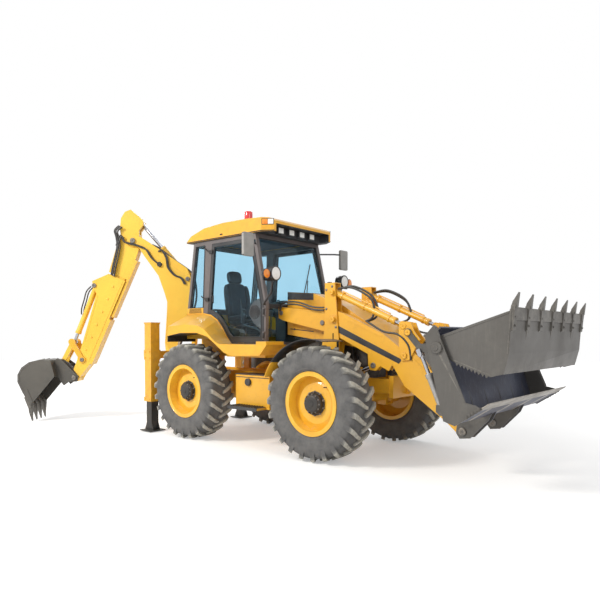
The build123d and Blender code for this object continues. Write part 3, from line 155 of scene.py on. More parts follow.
def surface(name, colour, second, rough=(0.35, 0.5), metal=0.0, coat=0.0, scale=2.5,
            bump=0.15, bump_scale=60.0, dust=0.0, dust_colour=(0.42, 0.35, 0.25), wear=0.0,
            wear_colour=(0.4, 0.38, 0.35), streak=0.0, grime=0.0, grime_colour=(0.05, 0.035, 0.02),
            **more):
    """Node material: two tones, streaks, grime in patches, dust on top and worn edges.

    `more` sets other inputs of the shader by their names.
    """
    material = bpy.data.materials.new(name)
    material.use_nodes = True
    tree = material.node_tree
    shader = tree.nodes["Principled BSDF"]
    where = tree.nodes.new("ShaderNodeTexCoord").outputs["Object"]
    broad = noise(tree, where, scale)
    fine = noise(tree, where, bump_scale, 6.0, 0.6)
    tone = blend(tree, ramp(tree, broad, 0.38, 0.64), colour, second)
    if streak:
        stretch = linked(tree, "ShaderNodeMapping", Vector=where, Scale=STREAK_STRETCH)
        lines = noise(tree, stretch.outputs[0], 4.0, 6.0, 0.7)
        tone = blend(tree, times(tree, ramp(tree, lines, 0.52, 0.75), streak), tone, wear_colour)
    if grime:
        spots = noise(tree, where, scale * 5, 9.0, 0.68)
        tone = blend(tree, times(tree, ramp(tree, spots, 0.54, 0.74), grime), tone, grime_colour)
    geometry = tree.nodes.new("ShaderNodeNewGeometry")
    if dust:
        upward = linked(tree, "ShaderNodeSeparateXYZ", Vector=geometry.outputs["Normal"])
        patches = noise(tree, where, scale * 2.5, 7.0, 0.62)
        cover = times(tree, ramp(tree, upward.outputs["Z"], 0.1, 0.95),
                      ramp(tree, patches, 0.3, 0.7))
        tone = blend(tree, times(tree, cover, dust), tone, dust_colour)
    if wear:
        edges = times(tree, ramp(tree, geometry.outputs["Pointiness"], 0.52, 0.6),
                      ramp(tree, noise(tree, where, 14.0, 8.0, 0.7), 0.4, 0.62))
        tone = blend(tree, times(tree, edges, wear), tone, wear_colour)
    tree.links.new(tone, shader.inputs["Base Color"])
    gloss = linked(tree, "ShaderNodeMapRange", Value=broad, From_Min=0.3, From_Max=0.7,
                   To_Min=rough[0], To_Max=rough[1])
    tree.links.new(gloss.outputs["Result"], shader.inputs["Roughness"])
    height = linked(tree, "ShaderNodeBump", Strength=bump, Distance=BUMP_DEPTH, Height=fine)
    tree.links.new(height.outputs[0], shader.inputs["Normal"])
    shader.inputs["Metallic"].default_value = metal
    shader.inputs["Coat Weight"].default_value = coat
    for key, value in more.items():
        shader.inputs[key.replace("_", " ")].default_value = value
    return material


def tread_rubber():
    """Rubber with pale dust and a painted highlight on the lug tops, from the mesh's `dust`
    values.
    """
    material = surface("tyre_rubber", (0.06, 0.061, 0.068), (0.115, 0.114, 0.12),
                       rough=(0.72, 0.92), bump=0.4, bump_scale=90, scale=6)
    tree = material.node_tree
    shader = tree.nodes["Principled BSDF"]
    tone = shader.inputs["Base Color"].links[0].from_socket
    where = tree.nodes.new("ShaderNodeTexCoord").outputs["Object"]
    marked = tree.nodes.new("ShaderNodeAttribute")
    marked.attribute_name = "dust"
    cover = times(tree, marked.outputs["Fac"],
                  ramp(tree, noise(tree, where, 16.0, 9.0, 0.7), 0.16, 0.55))
    # Pale cream on the lug tops: dust, and a painted highlight of sunlit tread.
    pale = blend(tree, noise(tree, where, 30.0), (0.36, 0.345, 0.3), (0.58, 0.56, 0.49))
    tree.links.new(blend(tree, cover, tone, pale), shader.inputs["Base Color"])
    return material


DARK_DUST, BARE_STEEL = (0.2, 0.18, 0.15), (0.26, 0.24, 0.21)
YELLOW = surface("yellow_paint", (0.86, 0.45, 0.028), (0.80, 0.40, 0.022), (0.3, 0.46),
                 coat=0.25, scale=1.6, bump=0.05, dust=0.35, dust_colour=(0.62, 0.47, 0.22),
                 wear=0.5, wear_colour=(0.45, 0.2, 0.05), grime=0.22,
                 grime_colour=(0.3, 0.14, 0.03), Coat_Roughness=0.2)
SUN_YELLOW = surface("sunlit_yellow_paint", (0.90, 0.56, 0.055), (0.86, 0.51, 0.045),
                     (0.34, 0.5), coat=0.2, scale=1.3, bump=0.05, dust=0.3,
                     dust_colour=(0.7, 0.55, 0.3), wear=0.45, wear_colour=(0.5, 0.26, 0.08),
                     grime=0.12, grime_colour=(0.42, 0.22, 0.05), Coat_Roughness=0.25)
RIM = surface("rim_paint", (0.88, 0.5, 0.035), (0.82, 0.43, 0.028), (0.28, 0.42), coat=0.3,
              scale=5, bump=0.05, dust=0.2, grime=0.25, grime_colour=(0.4, 0.2, 0.05))
PILLAR = surface("pillar_grey", (0.135, 0.115, 0.115), (0.105, 0.092, 0.092), (0.4, 0.55),
                 coat=0.1, scale=3, bump=0.08, dust=0.25, wear=0.35, streak=0.15,
                 wear_colour=(0.26, 0.23, 0.22))
BLACK = surface("black_paint", (0.018, 0.018, 0.021), (0.03, 0.03, 0.033), (0.32, 0.5),
                coat=0.15, scale=4, bump=0.08, dust=0.22, dust_colour=DARK_DUST,
                wear=0.3, wear_colour=(0.12, 0.12, 0.12))
PLASTIC = surface("black_plastic", (0.03, 0.03, 0.034), (0.05, 0.05, 0.053), (0.5, 0.68),
                  scale=6, bump=0.35, bump_scale=220, dust=0.25, dust_colour=DARK_DUST)
RUBBER = surface("seal_rubber", (0.02, 0.02, 0.022), (0.034, 0.034, 0.036), (0.6, 0.8),
                 scale=9, bump=0.2, bump_scale=160)
HOSE = surface("hydraulic_hose", (0.022, 0.021, 0.021), (0.045, 0.042, 0.04), (0.4, 0.6),
               scale=12, bump=0.3, bump_scale=240, dust=0.2, dust_colour=(0.2, 0.17, 0.13))
STEEL = surface("bucket_steel", (0.112, 0.106, 0.098), (0.086, 0.08, 0.073), (0.42, 0.6),
                metal=0.3, scale=1.4, bump=0.2, bump_scale=45, dust=0.22,
                dust_colour=(0.24, 0.21, 0.17), wear=0.7, streak=0.16,
                wear_colour=BARE_STEEL, grime=0.2, grime_colour=(0.06, 0.045, 0.035))
BRIGHT_STEEL = surface("scoured_steel", (0.3, 0.27, 0.235), (0.2, 0.18, 0.155), (0.3, 0.5),
                       metal=0.6, scale=5, bump=0.25, bump_scale=70, wear=0.6, streak=0.4,
                       wear_colour=(0.5, 0.46, 0.4))
DIG_STEEL = surface("digging_bucket_steel", (0.105, 0.098, 0.086), (0.085, 0.08, 0.072),
                    (0.45, 0.6), metal=0.3, scale=1.1, bump=0.15, bump_scale=45, dust=0.15,
                    dust_colour=(0.2, 0.18, 0.14), wear=0.6, wear_colour=BARE_STEEL)
SILVER = surface("silver_paint", (0.42, 0.41, 0.4), (0.33, 0.325, 0.32), (0.3, 0.45), metal=0.5,
                 scale=4, bump=0.1, grime=0.3, grime_colour=(0.1, 0.09, 0.08))
# Dark bluish steel for the bucket's inside, picked by the faces' direction: painted shade, with
# pale streaks of polish.
SHADED_INNER_STEEL = surface("inner_bucket_steel_painted_shade", (0.035, 0.045, 0.085), (0.075, 0.075, 0.1),
                      (0.35, 0.6), metal=0.4, scale=2, bump=0.2, streak=0.5,
                      wear_colour=(0.2, 0.21, 0.26))
IRON = surface("oily_iron", (0.035, 0.033, 0.032), (0.06, 0.052, 0.045), (0.35, 0.6),
               metal=0.3, scale=7, bump=0.35, bump_scale=80, wear=0.3, grime=0.4)
BOLT = surface("bolt_steel", (0.16, 0.15, 0.14), (0.25, 0.22, 0.19), (0.35, 0.55), metal=0.7,
               scale=30, bump=0.15, bump_scale=200)
PALE_BOLT = surface("plated_pin", (0.45, 0.42, 0.36), (0.62, 0.58, 0.5), (0.3, 0.5),
                    metal=0.6, scale=22, bump=0.15, bump_scale=150)
CHROME = surface("ram_chrome", (0.5, 0.51, 0.55), (0.4, 0.41, 0.45), (0.14, 0.24), metal=1.0,
                 scale=8, bump=0.03)
LAMP = surface("white_lens", (0.86, 0.87, 0.84), (0.95, 0.95, 0.93), (0.08, 0.2), coat=0.6,
               scale=30, bump=0.5, bump_scale=170)
AMBER = surface("amber_lens", (0.9, 0.22, 0.012), (0.95, 0.33, 0.03), (0.12, 0.25), coat=0.5,
                scale=20, bump=0.4, bump_scale=150)
RED = surface("red_lens", (0.62, 0.02, 0.03), (0.8, 0.06, 0.06), (0.12, 0.25), coat=0.6,
              scale=20, bump=0.4, bump_scale=150)
MIRROR_GREY = surface("mirror_shell", (0.3, 0.295, 0.28), (0.36, 0.35, 0.335), (0.5, 0.62),
                      scale=8, bump=0.25, bump_scale=180, dust=0.2)
TRIM = surface("cab_trim", (0.105, 0.11, 0.115), (0.14, 0.145, 0.15), (0.6, 0.78), scale=8,
               bump=0.35, bump_scale=160, dust=0.15)
FABRIC = surface("seat_fabric", (0.035, 0.042, 0.055), (0.055, 0.06, 0.07), (0.85, 0.95),
                 scale=9, bump=0.6, bump_scale=420, dust=0.08, Sheen_Weight=0.25)
VINYL = surface("seat_vinyl", (0.022, 0.025, 0.032), (0.04, 0.042, 0.05), (0.45, 0.6),
                scale=12, bump=0.4, bump_scale=260, coat=0.1)
# Near-black for slots, louvres and grille gaps drawn as thin sheets: painted shade in the
# openings.
HOLE_SHADE = surface("painted_hole_shade", (0.006, 0.006, 0.007), (0.014, 0.013, 0.012), (0.8, 0.95),
               scale=9, bump=0.2)
GLASS = surface("tinted_glass", (0.62, 0.83, 0.93), (0.6, 0.815, 0.92), (0.0, 0.025),
                bump=0.0, scale=1.5, Transmission_Weight=1.0, IOR=1.2)
SHADE = surface("headliner", (0.03, 0.04, 0.065), (0.045, 0.055, 0.08), (0.7, 0.85), scale=7,
                bump=0.4, bump_scale=220)
TYRE = tread_rubber()

# ---- CAD nodes keep their shapes and get materials and rounded edges
CAD_EDGE, CAD_EDGE_ANGLE, WELD_GAP = 3.5 * MM, 35, 0.05 * MM


def round_edges(piece, width, angle, segments=2, harden=True):
    """Bevels the edges that turn by more than `angle` degrees; `width` is in metres."""
    soft = piece.modifiers.new("rounded_edges", "BEVEL")
    soft.width = width
    soft.segments = segments
    soft.limit_method = "ANGLE"
    soft.angle_limit = radians(angle)
    soft.harden_normals = harden


finishes = [
    (YELLOW, "chassis_frame loader_towers loader_arms bonnet cab_base side_tanks cab_roof "
             "stabiliser_frame carriage swing_post lift_barrels tilt_barrels tilt_levers"),
    (SUN_YELLOW, "boom dipper dipper_slide boom_ram_barrel dipper_ram_barrel "
                 "bucket_ram_barrel tipping_link"),
    (RIM, "rim_front_left rim_front_right rim_rear_left rim_rear_right"),
    (YELLOW, "axles knuckle_front_left knuckle_front_right knuckle_rear_left "
             "knuckle_rear_right tipping_lever"),
    (STEEL, "loader_bucket clam_bucket tilt_links"),
    (DIG_STEEL, "digging_bucket"),
    (SILVER, "clam_barrels"),
    (PILLAR, "cab_frame"),
    (BLACK, "door_left door_right radiator_grille mirrors work_lamps"),
    (IRON, "engine_block stabiliser_leg_left stabiliser_leg_right"),
    (CHROME, "lift_rods tilt_rods clam_rods boom_ram_rod dipper_ram_rod bucket_ram_rod"),
    (GLASS, "cab_glass door_glass_left door_glass_right"),
    (PLASTIC, "seat steering_column"),
    (TYRE, "tyre_front_left tyre_front_right tyre_rear_left tyre_rear_right"),
]
for finish, names in finishes:
    for name in names.split():
        body = nodes[name]
        body.data.materials.clear()
        body.data.materials.append(finish)
        for polygon in body.data.polygons:
            polygon.material_index = 0
        if finish not in (GLASS, TYRE):
            weld = body.modifiers.new("weld", "WELD")
            weld.merge_threshold = WELD_GAP
            round_edges(body, CAD_EDGE, CAD_EDGE_ANGLE)


def recolour(name, finish, wanted):
    """Gives a CAD node's polygons that `wanted` picks, by middle and normal, a finish."""
    mesh = nodes[name].data
    mesh.materials.append(finish)
    index = len(mesh.materials) - 1
    for polygon in mesh.polygons:
        middle = Vector(polygon.center) / MM + PLAN_CENTRE
        if wanted(middle, polygon.normal):
            polygon.material_index = index


# ---- building pieces
def drum(radius, height):
    """Profile of a plain disc or rod for Maker.turned."""
    return [(0, 0), (0, radius), (height, radius), (height, 0)]


def button(radius, height, top_height, top_radius):
    """Profile of a disc with a bevelled top."""
    return [(0, 0), (0, radius), (height, radius), (top_height, top_radius), (top_height, 0)]


class Maker:
    """Collects mesh parts in machine millimetres and makes one piece of them."""

    def __init__(self):
        self.points, self.faces, self.marks = [], [], []

    def add(self, points, faces, marks=0.0):
        """Adds a mesh; `marks` is a number for all its points, or a list with one each."""
        start = len(self.points)
        self.points += [Vector(point) for point in points]
        self.faces += [[index + start for index in face] for face in faces]
        self.marks += marks if isinstance(marks, list) else [marks] * len(points)

    def slab(self, plane, outline, thickness, step=0.0):
        """Plate of this outline, centred `step` off the plane."""
        count = len(outline)
        points = [on(plane, point, step - thickness / 2) for point in outline]
        points += [on(plane, point, step + thickness / 2) for point in outline]
        faces = [list(range(count - 1, -1, -1)), list(range(count, 2 * count))]
        for index in range(count):
            after = (index + 1) % count
            faces.append([index, after, count + after, count + index])
        self.add(points, faces)

    def plate(self, y, outline, thickness):
        """Slab along the machine: the outline is in X and Z."""
        self.slab(side_plane(y), outline, thickness)

    def lean(self, side, depth, outline, thickness):
        """Slab in the cab's leaning side, this deep inside its outer face."""
        self.slab(cab_plane(side, depth), up_the_side(outline), thickness)

    def box(self, x_range, y_range, z_range):
        (x, far_x), (y, far_y), (z, far_z) = x_range, y_range, z_range
        outline = [(x, z), (far_x, z), (far_x, far_z), (x, far_z)]
        self.plate((y + far_y) / 2, outline, abs(far_y - y))

    def turned(self, start, end, profile, count=24):
        """Turned body: profile lists distance from `start` towards `end`, and radius."""
        start, end = Vector(start), Vector(end)
        axis = (end - start).normalized()
        first = axis.orthogonal().normalized()
        second = axis.cross(first)
        points, faces, rings = [], [], []
        for along, radius in profile:
            middle = start + axis * along
            if radius == 0:
                rings.append([len(points)] * count)
                points.append(middle)
                continue
            rings.append(list(range(len(points), len(points) + count)))
            for index in range(count):
                turn = 2 * pi * index / count
                points.append(middle + (first * cos(turn) + second * sin(turn)) * radius)
        for low, high in zip(rings, rings[1:]):
            for index in range(count):
                after = (index + 1) % count
                face = [low[index], low[after], high[after], high[index]]
                face = list(dict.fromkeys(face))
                if len(face) > 2:
                    faces.append(face)
        self.add(points, faces)

    def bar(self, points, radius, count=8):
        """Round bar with straight runs."""
        self.pipe(points, radius, count, 1)

    def pipe(self, points, radius, count=8, smooth=5):
        """Round bar or hose through the points, curved when `smooth` is above 1."""
        points = [Vector(point) for point in points]
        line = [points[0]]
        for index in range(len(points) - 1):
            before = points[max(index - 1, 0)]
            start, end = points[index], points[index + 1]
            after = points[min(index + 2, len(points) - 1)]
            for part in range(1, smooth + 1):
                t = part / smooth
                if smooth == 1:
                    line.append(end)
                    continue
                line.append(0.5 * (2 * start + (end - before) * t
                                   + (2 * before - 5 * start + 4 * end - after) * t * t
                                   + (3 * start - before - 3 * end + after) * t ** 3))
        rings, faces, made = [], [], []
        side = (line[1] - line[0]).orthogonal().normalized()
        for index, point in enumerate(line):
            ahead = line[min(index + 1, len(line) - 1)] - line[max(index - 1, 0)]
            if ahead.length < 1e-6:
                ahead = line[index] - line[index - 1]
            ahead.normalize()
            side = (side - ahead * side.dot(ahead)).normalized()
            other = ahead.cross(side)
            rings.append(len(made))
            for step in range(count):
                turn = 2 * pi * step / count
                made.append(point + (side * cos(turn) + other * sin(turn)) * radius)
        for low, high in zip(rings, rings[1:]):
            for step in range(count):
                after = (step + 1) % count
                faces.append([low + step, low + after, high + after, high + step])
        faces.append(list(range(count - 1, -1, -1)))
        faces.append([rings[-1] + step for step in range(count)])
        self.add(made, faces)

    def bolt(self, middle, axis, radius=11, height=9, washer=True):
        """Hexagon head on a washer, standing off a surface."""
        middle, axis = Vector(middle), Vector(axis).normalized()
        if washer:
            self.turned(middle, middle + axis, [(0, 0), (0, radius * 1.5), (2, radius * 1.5),
                        (2.5, radius * 1.4), (2.5, 0)], 16)
        self.turned(middle, middle + axis, [(2, 0), (2, radius), (height - 2, radius),
                    (height, radius * 0.8), (height, 0)], 6)

    def pin(self, middle, axis, radius, height):
        """Domed pin head with a chamfer and a grease nipple."""
        middle, axis = Vector(middle), Vector(axis).normalized()
        self.turned(middle, middle + axis, [(0, 0), (0, radius), (height * 0.6, radius),
                    (height, radius * 0.82), (height, radius * 0.4), (height * 0.8, radius * 0.34),
                    (height * 0.8, 0)], 24)
        self.turned(middle, middle + axis, [(height * 0.8, 0), (height * 0.8, 5), (height + 4, 5),
                    (height + 8, 2), (height + 8, 0)], 8)

    def finish(self, name, material, body="machine", bevel=1.5, segments=2, slot=None, angle=32):
        """Makes the piece; `bevel` in millimetres rounds edges above `angle` degrees."""
        mesh = bpy.data.meshes.new(name)
        mesh.from_pydata([row(point) for point in self.points], [], self.faces)
        mesh.materials.append(material)
        mesh.validate()
        mesh.shade_smooth()
        mesh.set_sharp_from_angle(angle=radians(angle))
        piece = bpy.data.objects.new(name, mesh)
        scene.collection.objects.link(piece)
        if bevel:
            round_edges(piece, bevel * MM, angle, segments)
        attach(piece, body)
        return piece


# ---- tyres
# Half section of the carcass: radius and distance from the middle plane.
half_section = [(357, 150), (360, 163), (393, 166), (404, 176), (418, 193), (436, 203),
                (442, 200), (449, 205), (490, 211), (540, 213), (590, 211), (630, 203),
                (655, 186), (668, 158), (675, 100), (678, 0)]
LUGS = 23
TURN_STEPS = 115
TREAD_EDGE, TREAD_ANGLE = 4 * MM, 38
LUG_LEAD_RADIUS, SHOULDER = 690, 590
# Each tyre is turned a little further, so their lugs don't line up.
FIRST_TURN, NEXT_TURN = 0.07, 0.05
HUB_BOLTS, STUDS, HUB_RADIUS, HUB_FOOT = 12, 10, 132, 70
# Shares of the pale lug colour: dust on the carcass and in the grooves, dust and a painted
# highlight on the lug tops and ends.
CARCASS_DUST, GROOVE_DUST, EDGE_DUST_AND_HIGHLIGHT, TOP_DUST_AND_HIGHLIGHT = 0.12, 0.1, 0.35, 1.0


def tread_radius(distance):
    """Carcass radius at a distance from the middle plane."""
    pairs = [(y, r) for r, y in half_section if r >= SHOULDER][::-1]
    for (low, at_low), (high, at_high) in zip(pairs, pairs[1:]):
        if low <= distance <= high:
            return at_low + (at_high - at_low) * (distance - low) / (high - low)
    return pairs[-1][1]


def tyre_mesh():
    """One tyre around the origin: a revolved carcass and two rows of chevron lugs."""
    maker = Maker()
    section = half_section + [(r, -y) for r, y in half_section[-2::-1]]
    points, faces = [], []
    for step in range(TURN_STEPS):
        turn = 2 * pi * step / TURN_STEPS
        for radius, distance in section:
            points.append((radius * cos(turn), distance, radius * sin(turn)))
    width = len(section)
    for step in range(TURN_STEPS):
        after = (step + 1) % TURN_STEPS
        for index in range(width):
            beyond = (index + 1) % width
            faces.append([step * width + index, step * width + beyond,
                          after * width + beyond, after * width + index])
    maker.add(points, faces, CARCASS_DUST)
    # Stations along a lug: distance from the middle plane, base radius, top radius, lead
    # along the turn in millimetres and half width.
    stations = [(-12, 672, 713, -112, 17), (20, 672, 714, -104, 22), (80, 668, 713, -72, 25),
                (140, 656, 710, -34, 27), (180, 640, 705, -10, 29), (209, 618, 695, 4, 30),
                (213.5, 590, 672, 12, 31), (213.5, 560, 640, 20, 30)]
    for side in (-1, 1):
        for lug in range(LUGS):
            start = 2 * pi * (lug + (0.5 if side > 0 else 0)) / LUGS
            points, marks = [], []
            for index, (distance, base, top, lead, half) in enumerate(stations):
                top_dust_and_highlight = {6: EDGE_DUST_AND_HIGHLIGHT, 7: GROOVE_DUST}.get(index, TOP_DUST_AND_HIGHLIGHT)
                for radius, spread, mark in (
                        (base, half + 5, GROOVE_DUST), (top, half, top_dust_and_highlight),
                        (top, -half, top_dust_and_highlight), (base, -half - 5, GROOVE_DUST)):
                    turn = start + (lead + spread) / LUG_LEAD_RADIUS
                    points.append((radius * cos(turn), side * distance, radius * sin(turn)))
                    marks.append(mark)
            faces = []
            for index in range(len(stations) - 1):
                low, high = 4 * index, 4 * index + 4
                for first in range(3):
                    faces.append([low + first, high + first, high + first + 1, low + first + 1])
            faces.append([3, 2, 1, 0])
            last = 4 * (len(stations) - 1)
            faces.append([last, last + 1, last + 2, last + 3])
            if side < 0:
                faces = [face[::-1] for face in faces]
            maker.add(points, faces, marks)
    mesh = bpy.data.meshes.new("tyre")
    mesh.from_pydata([point * MM for point in maker.points], [], maker.faces)
    attribute = mesh.attributes.new("dust", "FLOAT", "POINT")
    attribute.data.foreach_set("value", maker.marks)
    mesh.materials.append(TYRE)
    mesh.validate()
    mesh.shade_smooth()
    mesh.set_sharp_from_angle(angle=radians(TREAD_ANGLE))
    return mesh


tyre_shape = tyre_mesh()
corners = [("front_left", 0, 1), ("front_right", 0, -1), ("rear_left", REAR_AXLE, 1),
           ("rear_right", REAR_AXLE, -1)]
for index, (corner, axle, side) in enumerate(corners):
    body = f"wheel_{corner}"
    shape = tyre_shape.copy()
    shape.transform(Matrix.Rotation(FIRST_TURN + NEXT_TURN * index, 4, "Y"))
    tread = bpy.data.objects.new(f"tread_{corner}", shape)
    scene.collection.objects.link(tread)
    tread.location = row((axle, side * WHEEL_Y, WHEEL_RADIUS))
    round_edges(tread, TREAD_EDGE, TREAD_ANGLE, harden=False)
    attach(tread, body)
    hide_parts(f"tyre_{corner}")

    def is_hub(middle, normal, axle=axle, side=side):
        proud = side * middle.y - WHEEL_Y
        return hypot(middle.x - axle, middle.z - WHEEL_RADIUS) < HUB_RADIUS and proud > HUB_FOOT
    recolour(f"rim_{corner}", IRON, is_hub)

    # Hub cover, its bolts, the wheel's studs and the valve.
    def out(distance, radius=0.0, turn=0.0):
        return Vector((axle + radius * cos(turn), side * (WHEEL_Y + distance),
                       WHEEL_RADIUS + radius * sin(turn)))
    away = Vector((0, side, 0))
    hub = Maker()
    hub.turned(out(75), out(76),
               [(0, 126), (0, 150), (10, 150), (14, 132), (52, 132), (60, 127), (60, 126)], 48)
    hub.turned(out(149), out(150),
               [(0, 0), (0, 102), (8, 100), (12, 92), (12, 40), (20, 34), (20, 0)], 40)
    hub.finish(f"hub_{corner}", IRON, body, 2)
    bolts = Maker()
    for step in range(HUB_BOLTS):
        bolts.bolt(out(143, 113, 2 * pi * step / HUB_BOLTS), away, 8, 9)
    for step in range(STUDS):
        turn = 2 * pi * (step + 0.5) / STUDS
        bolts.bolt(out(84, 143, turn), away, 12, 16)
        bolts.turned(out(88, 143, turn), out(118, 143, turn), button(8, 20, 22, 6), 10)
    bolts.finish(f"studs_{corner}", BOLT, body, 0.8)
    # Pressed ring in the disc and lock ring by the flange.
    ring = Maker()
    ring.turned(out(166), out(167), [(0, 346), (0, 350), (8, 352), (12, 349), (12, 345), (0, 346)],
                72)
    ring.turned(out(171), out(172),
                [(9, 384), (12, 388), (12, 396), (8, 399), (3, 398), (0, 392), (9, 384)], 72)
    ring.finish(f"flange_{corner}", RIM, body, 0)
    valve = Maker()
    valve.turned(out(58, 262, 0.9), out(120, 268, 0.9),
                 [(0, 0), (0, 9), (14, 9), (16, 5), (44, 5), (46, 7), (62, 7), (64, 0)])
    valve.finish(f"valve_{corner}", RUBBER, body, 0, slot="tyre")

# ---- cab
door_window = [(-1180, 1530), (-1180, 1985), (-1405, 2885), (-2172, 2885), (-2248, 1950),
               (-2160, 1915), (-2035, 1850), (-1915, 1722), (-1818, 1595), (-1740, 1530)]
rear_window = [(-2392, 2930), (-2600, 2930), (-2735, 1985), (-2424, 1985)]


CAB_WALL, PANE_GAP = 60, 4


def cab_half_at(z):
    """Half the cab's width inside its walls at a height."""
    return CAB_HALF - (CAB_WALL + (z - CAB_SILL) * sin(CAB_LEAN)) / cos(CAB_LEAN)


GLASS_FOOT, GLASS_HEAD = Vector((-1117, 0, 1992)), Vector((-1321, 0, 2938))


def windscreen(across, up):
    """Point on the windscreen's outer face: share of its half width, share of its height."""
    middle = GLASS_FOOT + (GLASS_HEAD - GLASS_FOOT) * up
    return Vector((middle.x, across * (cab_half_at(middle.z) - PANE_GAP), middle.z))


def in_recess(middle, normal):
    """The roof's underside and the walls of its lamp recess."""
    under = middle.z < 3004 or (middle.z < 3114 and middle.x > -1206 and normal.z < -0.5)
    return under or (abs(middle.x + 1200) < 3 and abs(middle.y) < 601) or (
        abs(abs(middle.y) - 600) < 2 and middle.z < 3113)


recolour("cab_roof", PLASTIC, in_recess)
sill_line = [(-1088, 1400), (-1690, 1405), (-1780, 1440), (-1880, 1540), (-1975, 1665),
             (-2095, 1790), (-2240, 1868), (-2400, 1895), (-2810, 1900)]


def sill_at(x):
    """Height of the cab's lower edge at X."""
    for (front, low), (rear, high) in zip(sill_line, sill_line[1:]):
        if rear <= x <= front:
            return low + (high - low) * (front - x) / (front - rear)
    return 0


recolour("cab_frame", BLACK, lambda middle, normal: (
    -2330 < middle.x < -1165 and middle.z < sill_at(middle.x) + 80))
recolour("work_lamps", RED, lambda middle, normal: middle.x < -1490)
for hand in ("left", "right"):
    recolour(f"knuckle_front_{hand}", BLACK, lambda middle, normal: middle.z > 1200)
# Downward faces over the rear wheels are painted black: painted shade in the wheel arches, under
# the fenders.
recolour("cab_base", BLACK, lambda middle, normal: (
    abs(middle.y) > 560 and normal.z < -0.25 and middle.x < -1500 and middle.z > 1250))
sill_trim = Maker()
sill_low = [(-1165, 1404), (-1690, 1409), (-1778, 1444), (-1877, 1544), (-1972, 1669),
            (-2092, 1794), (-2238, 1871), (-2318, 1884)]
sill_high = [(-1165, 1443), (-1698, 1443), (-1766, 1466), (-1859, 1562), (-1955, 1686),
             (-2078, 1815), (-2239, 1893), (-2318, 1900)]
for side in (-1, 1):
    low, high = up_the_side(sill_low), up_the_side(sill_high)
    for index in range(len(low) - 1):
        sill_trim.slab(cab_plane(side, -2),
                       [low[index], low[index + 1], high[index + 1], high[index]], 4)
    # Dark sheet behind the rear wheel, under the fender's end.
    sill_trim.box((-2812, -2806), (side * 570, side * 1118), (1455, 1548))
sill_trim.finish("sill_trim", BLACK, bevel=0)
roof = Maker()
roof.box((-2555, -1405), (-624, 624), (3004, 3010))
roof.finish("headliner", SHADE, bevel=0)
trim = Maker()
for side in (-1, 1):
    # Drip rail along the roof's side and the lower seam.
    trim.bar([(-2790, side * 747, 3012), (-1168, side * 747, 3012)], 7)
    trim.bar([(-1165, side * 746, 3012), (-1012, side * 642, 3012)], 7)
    trim.box((-2010, -1965), (side * 746, side * 757), (3045, 3062))
for across in (-1, 1):
    trim.bar([windscreen(across, 0), windscreen(across, 1)], 9)
trim.bar([windscreen(-1, 0), windscreen(1, 0)], 10)
trim.bar([windscreen(-1, 1), windscreen(1, 1)], 10)
# Black band over the bonnet and the wiper's gearbox cover.
trim.box((-1096, -1082), (-664, 664), (1936, 1992))
trim.box((-1088, -1040), (40, 170), (2004, 2052))
trim.finish("cab_seals", RUBBER)

wiper = Maker()
wiper.pipe([(-1060, 104, 2030), (-1085, 150, 2110), windscreen(0.45, 0.42) + Vector((22, 0, 0))],
           7, smooth=3)
wiper.bar([windscreen(0.2, 0.14) + Vector((14, 0, 0)), windscreen(0.66, 0.7) + Vector((14, 0, 0))],
          8, 6)
wiper.turned((-1062, 104, 2030), (-1000, 104, 2040),
             [(0, 0), (0, 22), (26, 20), (30, 12), (30, 0)], 16)
wiper.finish("wiper", BLACK, bevel=0)

# Roof lamps, corner lenses, headlamps and indicators.
lenses, ambers, bezels = Maker(), Maker(), Maker()
for lamp_y in (-352, -117, 117, 352):
    lenses.box((-1149, -1141), (lamp_y - 50, lamp_y + 50), (3022, 3096))
    bezels.box((-1152, -1146), (lamp_y - 60, lamp_y + 60), (3014, 3104))
for side in (-1, 1):
    start, end = Vector((-1165, side * 745, 0)), Vector((-1010, side * 640, 0))
    along = (end - start).normalized()
    corner_plane = (start, along, UP)
    for low, high, target in ((14, 92, ambers), (96, 172, lenses)):
        target.slab(corner_plane, [(low, 3098), (high, 3098), (high, 3168), (low, 3168)], 16)
    bezels.slab(corner_plane, [(6, 3090), (180, 3090), (180, 3176), (6, 3176)], 6)
    place, front = Vector((-850, side * 790, 2390)), Vector((-849, side * 790, 2390))
    lenses.turned(place, front, [(2, 0), (2, 86), (8, 85), (16, 60), (19, 30), (20, 0)], 32)
    bezels.turned(place, front, [(-16, 96), (-16, 101), (8, 101), (14, 95), (14, 87), (4, 87)], 40)
    place, front = Vector((-925, side * 950, 2376)), Vector((-924, side * 950, 2376))
    bezels.turned(place, front, [(0, 0), (0, 40), (30, 66), (58, 68), (62, 64), (62, 58)], 32)
    ambers.turned(place, front, [(58, 0), (58, 60), (66, 58), (74, 38), (77, 0)], 28)
    bezels.box((-935, -905), (side * 880, side * 905), (2340, 2420))
    bezels.box((-930, -912), (side * 775, side * 960), (2286, 2312))
    bezels.box((-930, -912), (side * 930, side * 965), (2296, 2330))
lenses.finish("lamp_lenses", LAMP)
ambers.finish("amber_lenses", AMBER)
bezels.finish("lamp_bezels", BLACK, bevel=1)
BEACON_X, BEACON_Y = -1560, -600
beacon = Maker()
beacon.turned((BEACON_X, BEACON_Y, 3330), (BEACON_X, BEACON_Y, 3331),
              [(0, 61), (8, 59), (20, 48), (27, 28), (29, 0)], 32)
beacon.finish("beacon_cap", RED, bevel=0)
base = Maker()
base.turned((BEACON_X, BEACON_Y, 3214), (BEACON_X, BEACON_Y, 3215), button(70, 16, 22, 63), 32)
base.finish("beacon_base", PLASTIC, bevel=1)

